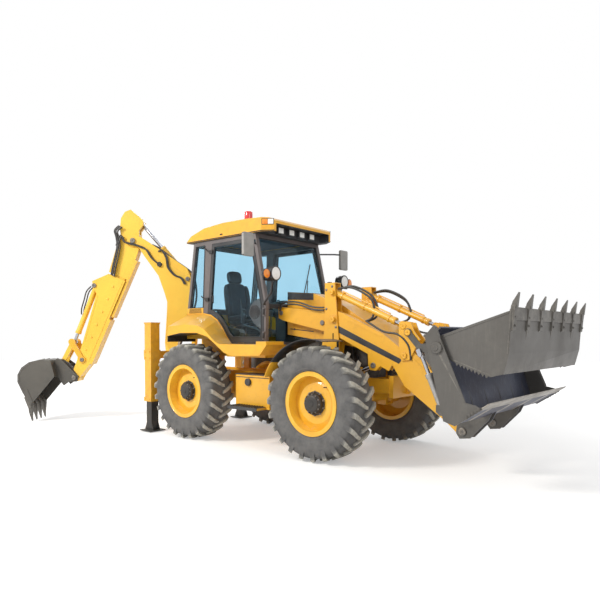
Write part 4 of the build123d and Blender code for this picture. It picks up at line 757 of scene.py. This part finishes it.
mirror_faces, mirror_shells = Maker(), Maker()
for side in (-1, 1):
    middle = Vector((-1100, side * 1085, 2770))
    plane = (middle, Vector((0, side, 0)), UP)
    mirror_shells.slab(plane, [(-98, -140), (-80, -158), (80, -158), (98, -140), (98, 140),
                               (80, 158), (-80, 158), (-98, 140)], 44, side * 17)
    mirror_faces.slab(plane, [(-82, -140), (82, -140), (82, 140), (-82, 140)], 4, -side * 8)
mirror_shells.finish("mirror_shells", MIRROR_GREY, bevel=9, segments=3)
mirror_faces.finish("mirror_glass", CHROME, bevel=1)

for side, hand in ((1, "left"), (-1, "right")):
    body = f"door_{hand}"
    seal = Maker()
    plane = cab_plane(side)
    window = [on(plane, point) for point in up_the_side(door_window)]
    seal.bar(window + window[:1], 8)
    # Handle with its escutcheon near the rear edge, and the lower vent panel.
    seal.lean(side, -4, [(-2214, 2040), (-2178, 2040), (-2178, 2160), (-2214, 2160)], 8)
    seal.finish(f"door_seal_{hand}", RUBBER, body)
    grab = Maker()
    low, high = (on(cab_plane(side, -4), point)
                 for point in up_the_side([(-2196, 2050), (-2196, 2150)]))
    off = Vector((0, side * 34, 0))
    grab.pipe([low, low + off, high + off, high], 9, smooth=4)
    inner = [on(cab_plane(side, 58), point) for point in up_the_side(
        [(-1240, 1600), (-1290, 1640), (-1560, 1700), (-1620, 1760), (-1640, 2080)])]
    grab.pipe(inner, 13, 10)
    grab.finish(f"door_handles_{hand}", BLACK, body, 0)
    vent = Maker()
    vent.lean(side, 24, [
        (-1184, 1600), (-1240, 1660), (-1330, 1715), (-1410, 1800), (-1440, 1882),
        (-1415, 1970), (-1345, 2035), (-1262, 2070), (-1184, 2075)], 8)
    vent.finish(f"vent_panel_{hand}", PILLAR, body, 2)
    grille = Maker()
    centre = on(cab_plane(side, 18), up_the_side([(-1320, 1882)])[0])
    face = centre + Vector((0, side, 0))
    for radius in (30, 52, 74, 96):
        grille.turned(centre, face, [(0, radius - 6), (5, radius - 5), (5, radius + 5),
                                     (0, radius + 6), (0, radius - 6)], 40)
    for step in range(6):
        turn = pi * step / 6
        arm = Vector((cos(turn), 0, sin(turn))) * 96
        grille.bar([centre - arm, centre + arm], 4, 6)
    grille.turned(centre, face, [(-3, 0), (-3, 98), (0, 98), (0, 0)], 40)
    grille.finish(f"vent_grille_{hand}", PLASTIC, body, 0)
    # Rear quarter: seal, hinges of the pane, louvred panel.
    quarter = Maker()
    pane = [on(plane, point) for point in up_the_side(rear_window)]
    quarter.bar(pane + pane[:1], 9)
    for height in (2102, 2820):
        x = -2330 + (height - 2102) * 0.12
        quarter.lean(side, -10, [(x - 30, height - 26), (x + 40, height - 26),
                                 (x + 40, height + 26), (x - 30, height + 26)], 20)
        quarter.pipe([on(cab_plane(side, -14), point) for point in up_the_side(
            [(x - 20, height), (x - 90, height + 30), (x - 120, height + 60)])], 9, smooth=3)
    quarter.finish(f"quarter_seal_{hand}", RUBBER, bevel=2)
    panel = Maker()
    panel.lean(side, -2, [(-2418, 1888), (-2806, 1890), (-2790, 1978), (-2420, 1978)], 6)
    panel.finish(f"louvre_panel_{hand}", YELLOW, bevel=2)
    slots = Maker()
    for level in range(5):
        z = 1902 + 15 * level
        slots.lean(side, -6, [(-2450 - 3 * level, z), (-2760 + 3 * level, z),
                              (-2756 + 3 * level, z + 7), (-2454 - 3 * level, z + 7)], 3)
    slots.finish(f"louvre_slots_{hand}", HOLE_SHADE, bevel=0)

# ---- inside the cab


def cushion(name, middle, size, tilt, material, power=3.2, fill=0.7, count=22):
    """Soft pad: a swollen block with rounded edges, leaning by `tilt` about the cross axis."""
    points, faces = [], []
    rows = count * 2
    for level in range(count + 1):
        lat = pi * (level / count - 0.5)
        for step in range(rows):
            lon = 2 * pi * step / rows
            way = [cos(lat) * cos(lon), cos(lat) * sin(lon), sin(lat)]
            point = [abs(value) ** (2 / power) * (1 if value > 0 else -1) for value in way]
            points.append(Vector([size[axis] * point[axis] for axis in range(3)]))
    for level in range(count):
        for step in range(rows):
            after = (step + 1) % rows
            faces.append([level * rows + step, level * rows + after,
                          (level + 1) * rows + after, (level + 1) * rows + step])
    lean = Matrix.Rotation(tilt, 3, "Y")
    pad = Maker()
    pad.add([Vector(middle) + lean @ point for point in points], faces)
    piece = pad.finish(name, material, bevel=0, angle=70)
    return piece


SEAT_LEAN, BACK_LEAN = radians(-4), radians(-9)
# Columns: name, middle, half sizes, lean, finish, how square its corners are.
seat_pads = [
    ("seat_cushion", (-2180, 0, 1800), (240, 240, 62), SEAT_LEAN, FABRIC, 4.2),
    ("seat_bolster_left", (-2180, 212, 1830), (232, 46, 50), SEAT_LEAN, VINYL, 3.0),
    ("seat_bolster_right", (-2180, -212, 1830), (232, 46, 50), SEAT_LEAN, VINYL, 3.0),
    ("seat_back", (-2445, 0, 2120), (62, 232, 290), BACK_LEAN, FABRIC, 4.2),
    ("back_bolster_left", (-2420, 205, 2110), (66, 46, 270), BACK_LEAN, VINYL, 3.0),
    ("back_bolster_right", (-2420, -205, 2110), (66, 46, 270), BACK_LEAN, VINYL, 3.0),
    ("headrest", (-2500, 0, 2500), (52, 145, 105), BACK_LEAN, VINYL, 3.4),
]
pads = [cushion(*pad) for pad in seat_pads]
stand = Maker()
stand.box((-2360, -2020), (-175, 175), (1302, 1345))
stand.plate(0, [(-2340, 1345), (-2040, 1345), (-2080, 1560), (-2300, 1560)], 300)
stand.plate(0, [(-2390, 1690), (-1960, 1712), (-1960, 1745), (-2400, 1735)], 420)
for fold in range(4):
    z = 1562 + fold * 32
    stand.box((-2335, -2045), (-160, 160), (z, z + 24))
    stand.box((-2320, -2060), (-145, 145), (z + 22, z + 34))
stand.bar([(-2490, -70, 2380), (-2496, -70, 2450)], 8)
stand.bar([(-2490, 70, 2380), (-2496, 70, 2450)], 8)
stand.plate(0, [(-2400, 1735), (-2465, 1760), (-2520, 2110), (-2500, 2112)], 340)
seat_stand = stand.finish("seat_stand", PLASTIC, bevel=4, slot="fabric")
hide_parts("seat")
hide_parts("seat")

inside = Maker()
# Steering wheel's rim, dashboard hood, levers and side consoles.
column = Vector((-200, 0, 700)).normalized()
hub_at = Vector((-1534, 0, 2014))
ring_first = Vector((column.z, 0, -column.x))
inside.pipe([hub_at + (ring_first * cos(2 * pi * step / 24) + Vector((0, 1, 0)) *
                       sin(2 * pi * step / 24)) * 178 for step in range(25)], 19, 10, 2)
inside.plate(0, [(-1160, 1890), (-1350, 1880), (-1440, 1960), (-1420, 1995), (-1160, 1985)], 460)
for lever_y in (-330, -300, 300, 330):
    inside.pipe([(-2000, lever_y, 1560), (-1975, lever_y, 1760), (-1955, lever_y, 1930)], 9,
                smooth=3)
    inside.turned((-1955, lever_y, 1920), (-1952, lever_y, 1950),
                  [(0, 0), (4, 18), (24, 26), (44, 20), (52, 0)], 16)
for side in (-1, 1):
    inside.plate(side * 360,
                 [(-2300, 1532), (-1960, 1532), (-1930, 1590), (-1960, 1640), (-2300, 1700)], 120)
inside.finish("cab_controls", TRIM, bevel=5)

# ---- loader: stripe, pins, hoses


def pin_heads(name, body, planes, rows, material=BOLT, ways=(-1, 1)):
    """Pin heads either side of each plane: rows give point, distance off it, radius, height."""
    heads = Maker()
    for plane in planes:
        normal = plane[1].cross(plane[2])
        for way in ways:
            for point, step, radius, height in rows:
                heads.pin(on(plane, point) + normal * way * step, normal * way, radius, height)
    heads.finish(name, material, body, 0.8)


arm_planes = [side_plane(-ARM_Y), side_plane(ARM_Y)]
pin_heads("tower_pins", "machine", arm_planes, [
    ((-100, 1760), 97, 40, 12), ((-520, 760), 97, 38, 12), ((-110, 2110), 97, 34, 12)], YELLOW)
pin_heads("lever_pins", "tilt_levers", arm_planes, [
    ((940, 1310), 74, 40, 12), ((930, 1660), 66, 38, 14), ((1000, 1585), 92, 38, 12)], YELLOW)
pin_heads("bucket_pins", "loader_bucket", arm_planes, [
    ((1670, 490), 74, 46, 14), ((1730, 765), 96, 38, 12)])
pin_heads("arm_pins", "loader_arms", arm_planes, [((500, 1180), 46, 36, 12)])

stripe = Maker()
for side in (-1, 1):
    plane = side_plane(side * (ARM_Y + ARM_HALF))
    stripe.slab(plane, [(-70, 1604), (-40, 1680), (905, 1262), (860, 1212)], 3)
stripe.finish("arm_stripes", BLACK, "loader_arms", 0)

arm_trim = Maker()
for side in (-1, 1):
    # Welded edge plates along the arm.
    for inner in (-47, 47):
        plane = side_plane(side * ARM_Y + inner)
        arm_trim.slab(plane, [(1020, 1310), (1290, 1085), (1585, 700), (1560, 680),
                              (1275, 1050), (1010, 1280)], 5)
        arm_trim.slab(plane, [(60, 1790), (620, 1550), (610, 1528), (50, 1766)], 5)
arm_trim.finish("arm_plates", YELLOW, "loader_arms", 2)

tower_trim, tower_bolts, dark_holes = Maker(), Maker(), Maker()
for side in (-1, 1):
    plane = side_plane(side * (ARM_Y + 66.5))
    for point in ((-214, 2150), (-120, 2190), (-215, 1900), (-60, 1660), (-200, 1480),
                  (-90, 1180)):
        tower_bolts.bolt(on(plane, point) + Vector((0, side * 0.5, 0)), (0, side, 0), 12, 12)
    tower_trim.slab(plane, [(-160, 1700), (-40, 1700), (-40, 1820), (-160, 1820)], 8)
    dark_holes.slab(plane, [(-110, 1480), (-96, 1480), (-96, 1580), (-110, 1580)], 6)
    # Cover on the tower's top and the brace's pins.
    tower_trim.box((-244, -76), (side * (ARM_Y - 66), side * (ARM_Y + 66)), (2228, 2240))
    brace = side_plane(side * (ARM_Y + 41))
    for point in ((-1035, 1870), (-300, 1720)):
        tower_bolts.turned(on(brace, point), on(brace, point) + Vector((0, side, 0)),
                           button(34, 10, 14, 28), 24)
tower_trim.finish("tower_plates", YELLOW, bevel=2.5)
tower_bolts.finish("tower_bolts", BOLT, bevel=0.8)
dark_holes.finish("tower_slots", HOLE_SHADE, bevel=0)

hoses = Maker()
for side in (-1, 1):
    y = side * (ARM_Y + 20)
    for shift in (0, 34):
        hoses.pipe([(-1060, y + side * 28, 1900 + shift), (-960, y + side * 62, 1975 + shift),
                    (-700, y + side * 66, 1975 + shift), (-430, y + side * 62, 1900 + shift),
                    (-250, y + side * 52, 1885 + shift)], 12)
hoses.finish("chassis_hoses", HOSE, bevel=0)

ram_hoses = Maker()
for side in (-1, 1):
    # Flexible run from the tower to the tilt ram's middle block.
    for shift in (0, 1):
        y = side * (ARM_Y - 20 + 34 * shift)
        ram_hoses.pipe([(-60, y, 2160), (160, y, 2180 - 20 * shift), (420, y, 2060 - 30 * shift),
                        (520 - 30 * shift, y, 1900), (500 - 30 * shift, y, 1780), (380, y, 1730)],
                       14, smooth=6)
    ram_hoses.pipe([(380, side * (ARM_Y + 30), 1735), (640, side * (ARM_Y + 44), 1600),
                    (860, side * (ARM_Y + 60), 1560), (1000, side * (ARM_Y + 66), 1430),
                    (1030, side * (ARM_Y + 58), 1260)], 13, smooth=6)
ram_hoses.finish("arm_hoses", HOSE, "loader_arms", 0)

barrel_trim = Maker()
for side in (-1, 1):
    start = Vector((-110, side * ARM_Y, 2110))
    way = (Vector((930, side * ARM_Y, 1660)) - start).normalized()
    barrel_trim.bar([start + way * along + Vector((0, 0, 62)) for along in (120, 500, 900)], 10)
    for along in (130, 500, 890):
        barrel_trim.turned(start + way * (along - 14), start + way * along,
                           [(0, 43), (0, 49), (26, 49), (26, 43)], 28)
barrel_trim.finish("tilt_ram_pipes", YELLOW, "tilt_barrels", 1)

# ---- bonnet and engine bay
louvres, bonnet_trim = Maker(), Maker()
for side in (-1, 1):
    plane = side_plane(side * BONNET_SIDE)
    for column in range(2):
        for level in range(7):
            x, z = -420 + column * 170, 1690 + level * 34
            louvres.slab(plane, [(x, z), (x + 140, z), (x + 140, z + 13), (x, z + 13)], 3)
    bonnet_trim.slab(plane, [(-980, 1640), (-560, 1600), (-560, 1612), (-980, 1652)], 4)
    for x, z in ((-900, 2080), (-120, 1560), (-900, 1640)):
        bonnet_trim.bolt((x, side * BONNET_SIDE, z), (0, side, 0), 10, 8)
# Front grille slats drawn as near-black strips: painted shade in the gaps.
for level in range(9):
    z = 1072 + level * 38
    louvres.box((684, 690), (-300, 300), (z, z + 18))
louvres.finish("bonnet_louvres", HOLE_SHADE, "bonnet", 0)
bonnet_trim.finish("bonnet_trim", BLACK, "bonnet", 1)
# Dark cowl over the bonnet's rear, below the windscreen.
cowl = Maker()
for side in (-1, 1):
    cowl.plate(side * (BONNET_SIDE + 1),
               [(-1034, 2064), (-560, 2040), (-560, 2127), (-1000, 2163), (-1034, 2166)], 4)
cowl.plate(0, [(-1034, 2168), (-1000, 2165), (-560, 2129), (-560, 2134), (-1000, 2171),
               (-1034, 2174)], 672)
cowl.finish("bonnet_cowl", BLACK, "bonnet", 2)
pipe_work = Maker()
pipe_work.turned((-650, 150, 2110), (-650, 150, 2320),
                 [(0, 0), (0, 48), (150, 48), (156, 34), (215, 34), (216, 28), (216, 0)], 28)
for side in (-1, 1):
    pipe_work.box((-520, 120), (side * 150, side * 242), (1180, 1300))
    pipe_work.turned((-300, side * 236, 1420), (-300, side * 290, 1420),
                     button(70, 48, 54, 60), 28)
    pipe_work.turned((-560, side * 232, 1330), (-560, side * 262, 1330),
                     drum(95, 28), 28)
    for x in (-700, -120, 60):
        pipe_work.pipe([(x, side * 236, 1120), (x + 20, side * 290, 1220),
                        (x - 30, side * 250, 1400)], 15)
pipe_work.finish("engine_details", IRON, bevel=3)

# ---- buckets
seams, edges, brass = Maker(), Maker(), Maker()
for side in (-1, 1):
    plane = side_plane(side * (BUCKET_SIDE + 1))
    seams.slab(plane, [(1706, 1622), (1722, 1616), (2028, 905), (2016, 896)], 6)
    seams.turned((1724, side * BUCKET_SIDE, 1424), (1724, side * (BUCKET_SIDE + 26), 1424),
                 [(0, 0), (0, 62), (18, 60), (24, 52), (24, 30), (30, 26), (30, 0)], 32)
    for step in range(5):
        x, z = 2040 + step * 30, 760 + step * 21
        seams.bolt((x, side * (BUCKET_SIDE + 2), z), (0, side, 0), 12, 10)
for y in (-1000, -600, -200, 200, 600, 1000):
    seams.plate(y, [(1596, 1500), (1612, 1506), (1846, 770), (1836, 766)], 10)
seams.bar([(1590, -1220, 1546), (1590, 1220, 1546)], 16, 10)
# Bolted cutting edge and the wear strips under the floor.
edges.plate(0, [(2150, 826), (2262, 902), (2256, 912), (2144, 838)], 2460)
EDGE_BOLTS, EDGE_BOLT_REACH = 16, 2300
for step in range(EDGE_BOLTS):
    y = -EDGE_BOLT_REACH / 2 + step * EDGE_BOLT_REACH / (EDGE_BOLTS - 1)
    edges.turned((2196, y, 868), (2193, y, 873), [(0, 0), (0, 17), (6, 15), (9, 8), (9, 0)], 12)
for y in (-900, -300, 300, 900):
    edges.plate(y, [(1846, 742), (1926, 680), (2140, 820), (2136, 830), (1928, 690), (1850, 752)],
                90)
for y in (-620, -480, 480, 620):
    brass.turned((1690, y, 660), (1650, y, 640), button(16, 40, 46, 10), 14)
seams.finish("bucket_seams", STEEL, "loader_bucket")
edges.finish("cutting_edge", BRIGHT_STEEL, "loader_bucket")
brass.finish("bucket_fittings", PALE_BOLT, "loader_bucket", 0.8)


def shaded_bucket_inside(middle, normal):
    """Forward faces inside the bucket: painted shade in dark bluish steel, with polish streaks."""
    return abs(middle.y) < 1200 and normal.x > 0.25


recolour("loader_bucket", SHADED_INNER_STEEL, shaded_bucket_inside)
clam_trim = Maker()
SERRATIONS = 9
clam_trim.plate(0, [(2428, 1690), (2452, 1690), (2452, 1812), (2436, 1812)], 2360)
for side in (-1, 1):
    plane = side_plane(side * (CLAM_SIDE + 9))
    for outline in ([(2398, 1380), (2412, 1378), (2440, 1800), (2424, 1790)],
                    [(1765, 1540), (2410, 1760), (2414, 1748), (1770, 1528)],
                    [(1880, 1300), (2250, 1168), (2252, 1180), (1884, 1312)]):
        clam_trim.slab(plane, outline, 6)
    # Serrated lower edge of the side.
    for step in range(SERRATIONS):
        share = step / SERRATIONS
        x, z = 1900 + share * 330, 1282 - share * 117
        clam_trim.plate(side * CLAM_SIDE, [(x, z), (x + 34, z - 12), (x + 14, z - 34)], 18)
# Seams across and down the front plate.
for y in (-760, 0, 760):
    clam_trim.plate(y, [(2408, 1380), (2414, 1380), (2452, 1690), (2444, 1690)], 12)
clam_trim.finish("clam_edges", STEEL, "clam_bucket", 2)
shanks = Maker()
CLAM_TEETH, TOOTH_REACH = 7, 2284
for step in range(CLAM_TEETH):
    y = -TOOTH_REACH / 2 + step * TOOTH_REACH / (CLAM_TEETH - 1)
    shanks.plate(y, [(2404, 1560), (2452, 1600), (2462, 1720), (2474, 1830), (2432, 1830),
                     (2414, 1700)], 70)
    shanks.plate(y, [(2436, 1790), (2478, 1800), (2494, 1944), (2470, 1900), (2440, 1850)], 52)
    for z in (1640, 1720):
        shanks.bolt((2458, y, z), (1, 0, 0.1), 11, 10)
shanks.finish("clam_teeth", STEEL, "clam_bucket", 3)

# ---- backhoe
pin_heads("boom_foot_pins", "swing_post", [swing_plane()], [((350, 800), 170, 46, 14)],
          ways=(1, -1))
pin_heads("boom_pins", "boom", [swing_plane()], [
    ((1100, 3260), 142, 48, 14), ((110, 2570), 142, 40, 12), ((-20, 1950), 62, 38, 12)])
pin_heads("dipper_pins", "dipper_slide", [dipper_plane()], [
    ((1020, 330), 132, 40, 12), ((2340, 0), 152, 38, 12)])
pin_heads("hitch_pins", "digging_bucket", [dipper_plane()], [((2693, 0), 180, 42, 12)])

boom_hoses, boom_trim = Maker(), Maker()
# Hoses from the swing post up the boom's back to the dipper, and those on its near side.
for lane in range(3):
    boom_hoses.pipe([on(swing_plane(-90 + lane * 26), point) for point in (
        (330, 1180), (250, 1420), (60, 1900), (-30, 2200), (-20, 2500), (60, 2700), (330, 2900),
        (640, 3120 + 10 * lane), (860, 3230), (960, 3280))], 13)
for lane in range(2):
    step = -142 - 10 * lane
    boom_hoses.pipe([on(swing_plane(step), (first - 26 * lane, second - 20 * lane)) for first,
                     second in ((1400, 3170), (1321, 3355), (1252, 3244), (1101, 3203),
                                (975, 3162), (866, 3106), (757, 2943), (618, 2833))], 14)
    boom_hoses.pipe([on(swing_plane(step), (first - 22 * lane, second)) for first, second in (
        (640, 3060), (579, 3081), (497, 2943), (470, 2779), (359, 2641), (236, 2586),
        (169, 2477))], 13)
boom_hoses.turned(on(swing_plane(-128), (618, 2833)), on(swing_plane(-130), (618, 2833)),
                  button(44, 26, 34, 32), 20)
dipper_hoses = Maker()
for lane in range(3):
    dipper_hoses.pipe([on(dipper_plane(-142 - 12 * (lane % 2)), (along, off - 30 * lane)) for
                       along, off in ((-150, 330), (-40, 372), (60, 300), (190, 226), (336, 190),
                       (559, 152), (723, 113))], 14)
dipper_hoses.finish("dipper_hoses", HOSE, "dipper", 0)
boom_hoses.finish("boom_hoses", HOSE, "boom", 0)
for way in (-1, 1):
    plane = swing_plane(way * BOOM_HALF)
    boom_trim.slab(plane, [(330, 1150), (520, 1420), (500, 1680), (482, 2000), (470, 2000),
                           (488, 1680), (506, 1425), (322, 1160)], 4)
    boom_trim.slab(plane, [(80, 2560), (640, 2990), (1040, 3250), (1034, 3262), (630, 3004),
                           (74, 2572)], 4)
boom_trim.finish("boom_welds", SUN_YELLOW, "boom")

slide_hoses, slide_trim = Maker(), Maker()
for lane in range(2):
    slide_hoses.pipe([on(dipper_plane(-60 + 120 * lane), point) for point in (
        (1060, 400), (1180, 440), (1340, 420), (1500, 400), (1600, 360))], 12)
slide_hoses.finish("bucket_ram_hoses", HOSE, "dipper_slide", 0)
for way in (-1, 1):
    plane = dipper_plane(way * 124)
    slide_trim.slab(plane, [(760, -120), (2340, -120), (2340, -108), (760, -108)], 5)
    slide_trim.slab(plane, [(1150, 210), (2000, 104), (2000, 92), (1150, 196)], 5)
    for along in (900, 1150, 1400, 1650, 1900, 2150):
        middle = on(plane, (along, 10))
        slide_trim.bolt(middle, ACROSS * way, 14, 12)
slide_trim.finish("slide_trim", SUN_YELLOW, "dipper_slide")

rib = Maker()


def follow(plane, outline, depth, thickness):
    """Plates along an outline, this far to its left."""
    for low, high in zip(outline, outline[1:]):
        start, end = Vector(low), Vector(high)
        normal = Vector((-(end - start).y, (end - start).x)).normalized() * depth
        rib.slab(plane, [start, end, end + normal, start + normal], thickness)


bucket_back = [(2790, 290), (2560, 470), (2620, 640), (2740, 800), (2880, 885), (3020, 900),
               (3140, 850), (3270, 700), (3430, 480)]
for way in (-1, 1):
    plane = dipper_plane(way * 306)
    follow(plane, bucket_back[3:], -26, 8)
    rib.slab(plane, [(3425, 480), (3350, 470), (3190, 640), (3265, 700)], 12)
for step in (-100, 100):
    follow(dipper_plane(step), bucket_back[2:], 20, 40)
DIG_TEETH, DIG_REACH = 4, 510
for step in range(DIG_TEETH):
    plane = dipper_plane(-DIG_REACH / 2 + step * DIG_REACH / (DIG_TEETH - 1))
    rib.slab(plane, [(3290, 640), (3400, 470), (3470, 452), (3500, 500), (3360, 640)], 84)
    rib.slab(plane, [(3400, 560), (3470, 450), (3690, 352), (3560, 470)], 58)
rib.finish("bucket_ribs", STEEL, "digging_bucket", 3)

# ---- stabilisers
collars = Maker()
for side in (-1, 1):
    y = side * STABILISER_Y
    for low, high, out in ((490, 560, 12), (1160, 1320, 10), (1735, 1757, 6)):
        for x_low, x_high, y_low, y_high in ((-3465 - out, -3295 + out, y + 85, y + 85 + out),
                (-3465 - out, -3295 + out, y - 85 - out, y - 85),
                (-3295, -3295 + out, y - 85, y + 85), (-3465 - out, -3465, y - 85, y + 85)):
            collars.box((x_low, x_high), (y_low, y_high), (low, high))
    collars.box((-3475, -3285), (y - 95, y + 95), (1755, 1764))
    for point_z in (1190, 1290, 525):
        for x in (-3440, -3320):
            collars.bolt((x, y + side * 97, point_z), (0, side, 0), 12, 10)
collars.finish("stabiliser_collars", YELLOW, bevel=3)
for side, hand in ((1, "left"), (-1, "right")):
    foot = Maker()
    y = side * STABILISER_Y
    foot.box((-3520, -3240), (y - 140, y + 140), (25, 31))
    for way in (-1, 1):
        foot.plate(y + way * 60, [(-3500, 25), (-3447, 25), (-3447, 150)], 12)
        foot.plate(y + way * 60, [(-3260, 25), (-3313, 25), (-3313, 150)], 12)
    foot.finish(f"foot_ribs_{hand}", IRON, f"stabiliser_leg_{hand}", 2, slot="worn_steel")

# ---- tanks, steps and rear lamps
steps, tank_trim = Maker(), Maker()
for side in (-1, 1):
    steps.box((-1490, -970), (side * 865, side * 1055), (570, 578))
    for x in range(-1470, -970, 50):
        steps.box((x, x + 12), (side * 870, side * 1050), (577, 588))
    steps.box((-1566, -894), (side * 560, side * 866), (1000, 1012))
    steps.box((-1512, -948), (side * 1058, side * 1068), (534, 576))
    tank_trim.turned((-1300, side * TANK_SIDE, 900), (-1300, side * 900, 900),
                     button(52, 30, 36, 44), 28)
    tank_trim.box((-1550, -910), (side * (TANK_SIDE + 1), side * (TANK_SIDE + 6)), (962, 972))
steps.finish("steps", BLACK)
tank_trim.finish("tank_straps", PLASTIC)
rear = Maker()
reds = Maker()
for side in (-1, 1):
    rear.box((-2812, -2800), (side * 980, side * 1110), (1600, 1685))
    reds.box((-2822, -2812), (side * 990, side * 1100), (1610, 1675))
rear.finish("rear_lamp_backs", PLASTIC, bevel=2)
reds.finish("rear_lamps", RED, bevel=3)
rear_seal = Maker()
corners_of_pane = [(-2786, -1, 1984), (-2786, 1, 1984), (-2650, 1, 2934), (-2650, -1, 2934)]
pane = [Vector((x - 8, y * (cab_half_at(z) - PANE_GAP), z)) for x, y, z in corners_of_pane]
rear_seal.bar(pane + pane[:1], 10)
rear_seal.finish("rear_window_seal", RUBBER, bevel=0)

# ---- quick hitch behind the digging bucket
hitch = Maker()
for way in (-1, 1):
    hitch.slab(dipper_plane(way * 112),
               [(2500, 180), (2470, 330), (2540, 420), (2640, 400), (2760, 250), (2800, 90),
                (2740, -50), (2640, -50), (2580, 60)], 22)
    hitch.slab(dipper_plane(way * 60),
               [(2540, 300), (2520, 400), (2600, 440), (2680, 360), (2640, 270)], 40)
hitch.turned(on(dipper_plane(-150), (2600, 180)), on(dipper_plane(150), (2600, 180)),
             drum(46, 300), 20)
hitch.finish("quick_hitch", IRON, "digging_bucket", 4, slot="worn_steel")

# ---- camera, floor and light
FLOOR_SIZE = 60.0
# The floor's own light, for the camera alone, rises between these distances from the origin.
SHADOW_ENDS, OPEN_STARTS, SHADOW_GLOW, OPEN_GLOW = 4.5, 11.0, 0.33, 0.62
WORLD_LIGHT = 0.62
camera_data = bpy.data.cameras.new("camera")
camera = bpy.data.objects.new("camera", camera_data)
scene.collection.objects.link(camera)
scene.camera = camera
camera.location = (6.253, -5.993, 1.54)
yaw, pitch = radians(131.388), radians(-1.4945)
camera.rotation_euler = (pi / 2 + pitch, 0, yaw - pi / 2)
camera_data.lens = 33.8
camera_data.sensor_width = 36
camera_data.shift_x = 0.0205
camera_data.shift_y = 0.085
camera_data.clip_end = 200


def seen_rays(tree):
    """1 for rays that see the backdrop: straight from the camera, mirrored or through glass."""
    path = tree.nodes.new("ShaderNodeLightPath")
    kinds = [path.outputs[name] for name in
             ("Is Camera Ray", "Is Glossy Ray", "Is Transmission Ray")]
    return times(tree, times(tree, kinds[0], kinds[1], "MAXIMUM"), kinds[2], "MAXIMUM")


def floor_material():
    """Pale floor that is white in the open and keeps the shadow under the machine."""
    material = surface("pale_floor", (0.80, 0.80, 0.80), (0.79, 0.79, 0.79), (0.85, 0.9),
                       bump=0.02, scale=0.6)
    tree = material.node_tree
    shader = tree.nodes["Principled BSDF"]
    shader.inputs["Specular IOR Level"].default_value = 0.1
    where = tree.nodes.new("ShaderNodeTexCoord").outputs["Object"]
    away = linked(tree, "ShaderNodeVectorMath", _operation="LENGTH", i0=where)
    level = linked(tree, "ShaderNodeMapRange", Value=away.outputs["Value"], From_Min=SHADOW_ENDS,
                   From_Max=OPEN_STARTS, To_Min=SHADOW_GLOW, To_Max=OPEN_GLOW)
    lift = times(tree, seen_rays(tree), level.outputs["Result"])
    shader.inputs["Emission Color"].default_value = (1, 1, 1, 1)
    tree.links.new(lift, shader.inputs["Emission Strength"])
    return material


floor_mesh = bpy.data.meshes.new("floor")
half = FLOOR_SIZE / 2
floor_mesh.from_pydata([(-half, -half, 0), (half, -half, 0), (half, half, 0), (-half, half, 0)],
                       [], [[0, 1, 2, 3]])
floor_mesh.materials.append(floor_material())
floor = bpy.data.objects.new("floor", floor_mesh)
scene.collection.objects.link(floor)

world = bpy.data.worlds.new("world")
scene.world = world
world.use_nodes = True
sky = world.node_tree
background = sky.nodes["Background"]
strength = linked(sky, "ShaderNodeMapRange", Value=seen_rays(sky), To_Min=WORLD_LIGHT, To_Max=1.0)
background.inputs["Color"].default_value = (1, 1, 1, 1)
sky.links.new(strength.outputs["Result"], background.inputs["Strength"])

# Columns: name, where it stands, where it points, power in watts, size, colour.
lamps = [
    ("key", (-3.5, -9.5, 8.0), (-0.3, 0, 1.2), 1050, 2.6, (1, 0.97, 0.9)),
    ("fill", (9.0, -3.5, 5.0), (0, 0, 1.2), 170, 5.0, (1, 0.98, 0.95)),
    ("back", (-7.0, 6.0, 7.0), (-1, 0, 1.5), 260, 4.0, (0.95, 0.97, 1)),
]
for name, place, target, power, size, colour in lamps:
    data = bpy.data.lights.new(name, "AREA")
    data.energy = power
    data.size = size
    data.color = colour
    lamp = bpy.data.objects.new(name, data)
    scene.collection.objects.link(lamp)
    lamp.location = place
    lamp.rotation_mode = "QUATERNION"
    lamp.rotation_quaternion = (Vector(target) - Vector(place)).to_track_quat("-Z", "Y")

scene.view_settings.view_transform = "Standard"
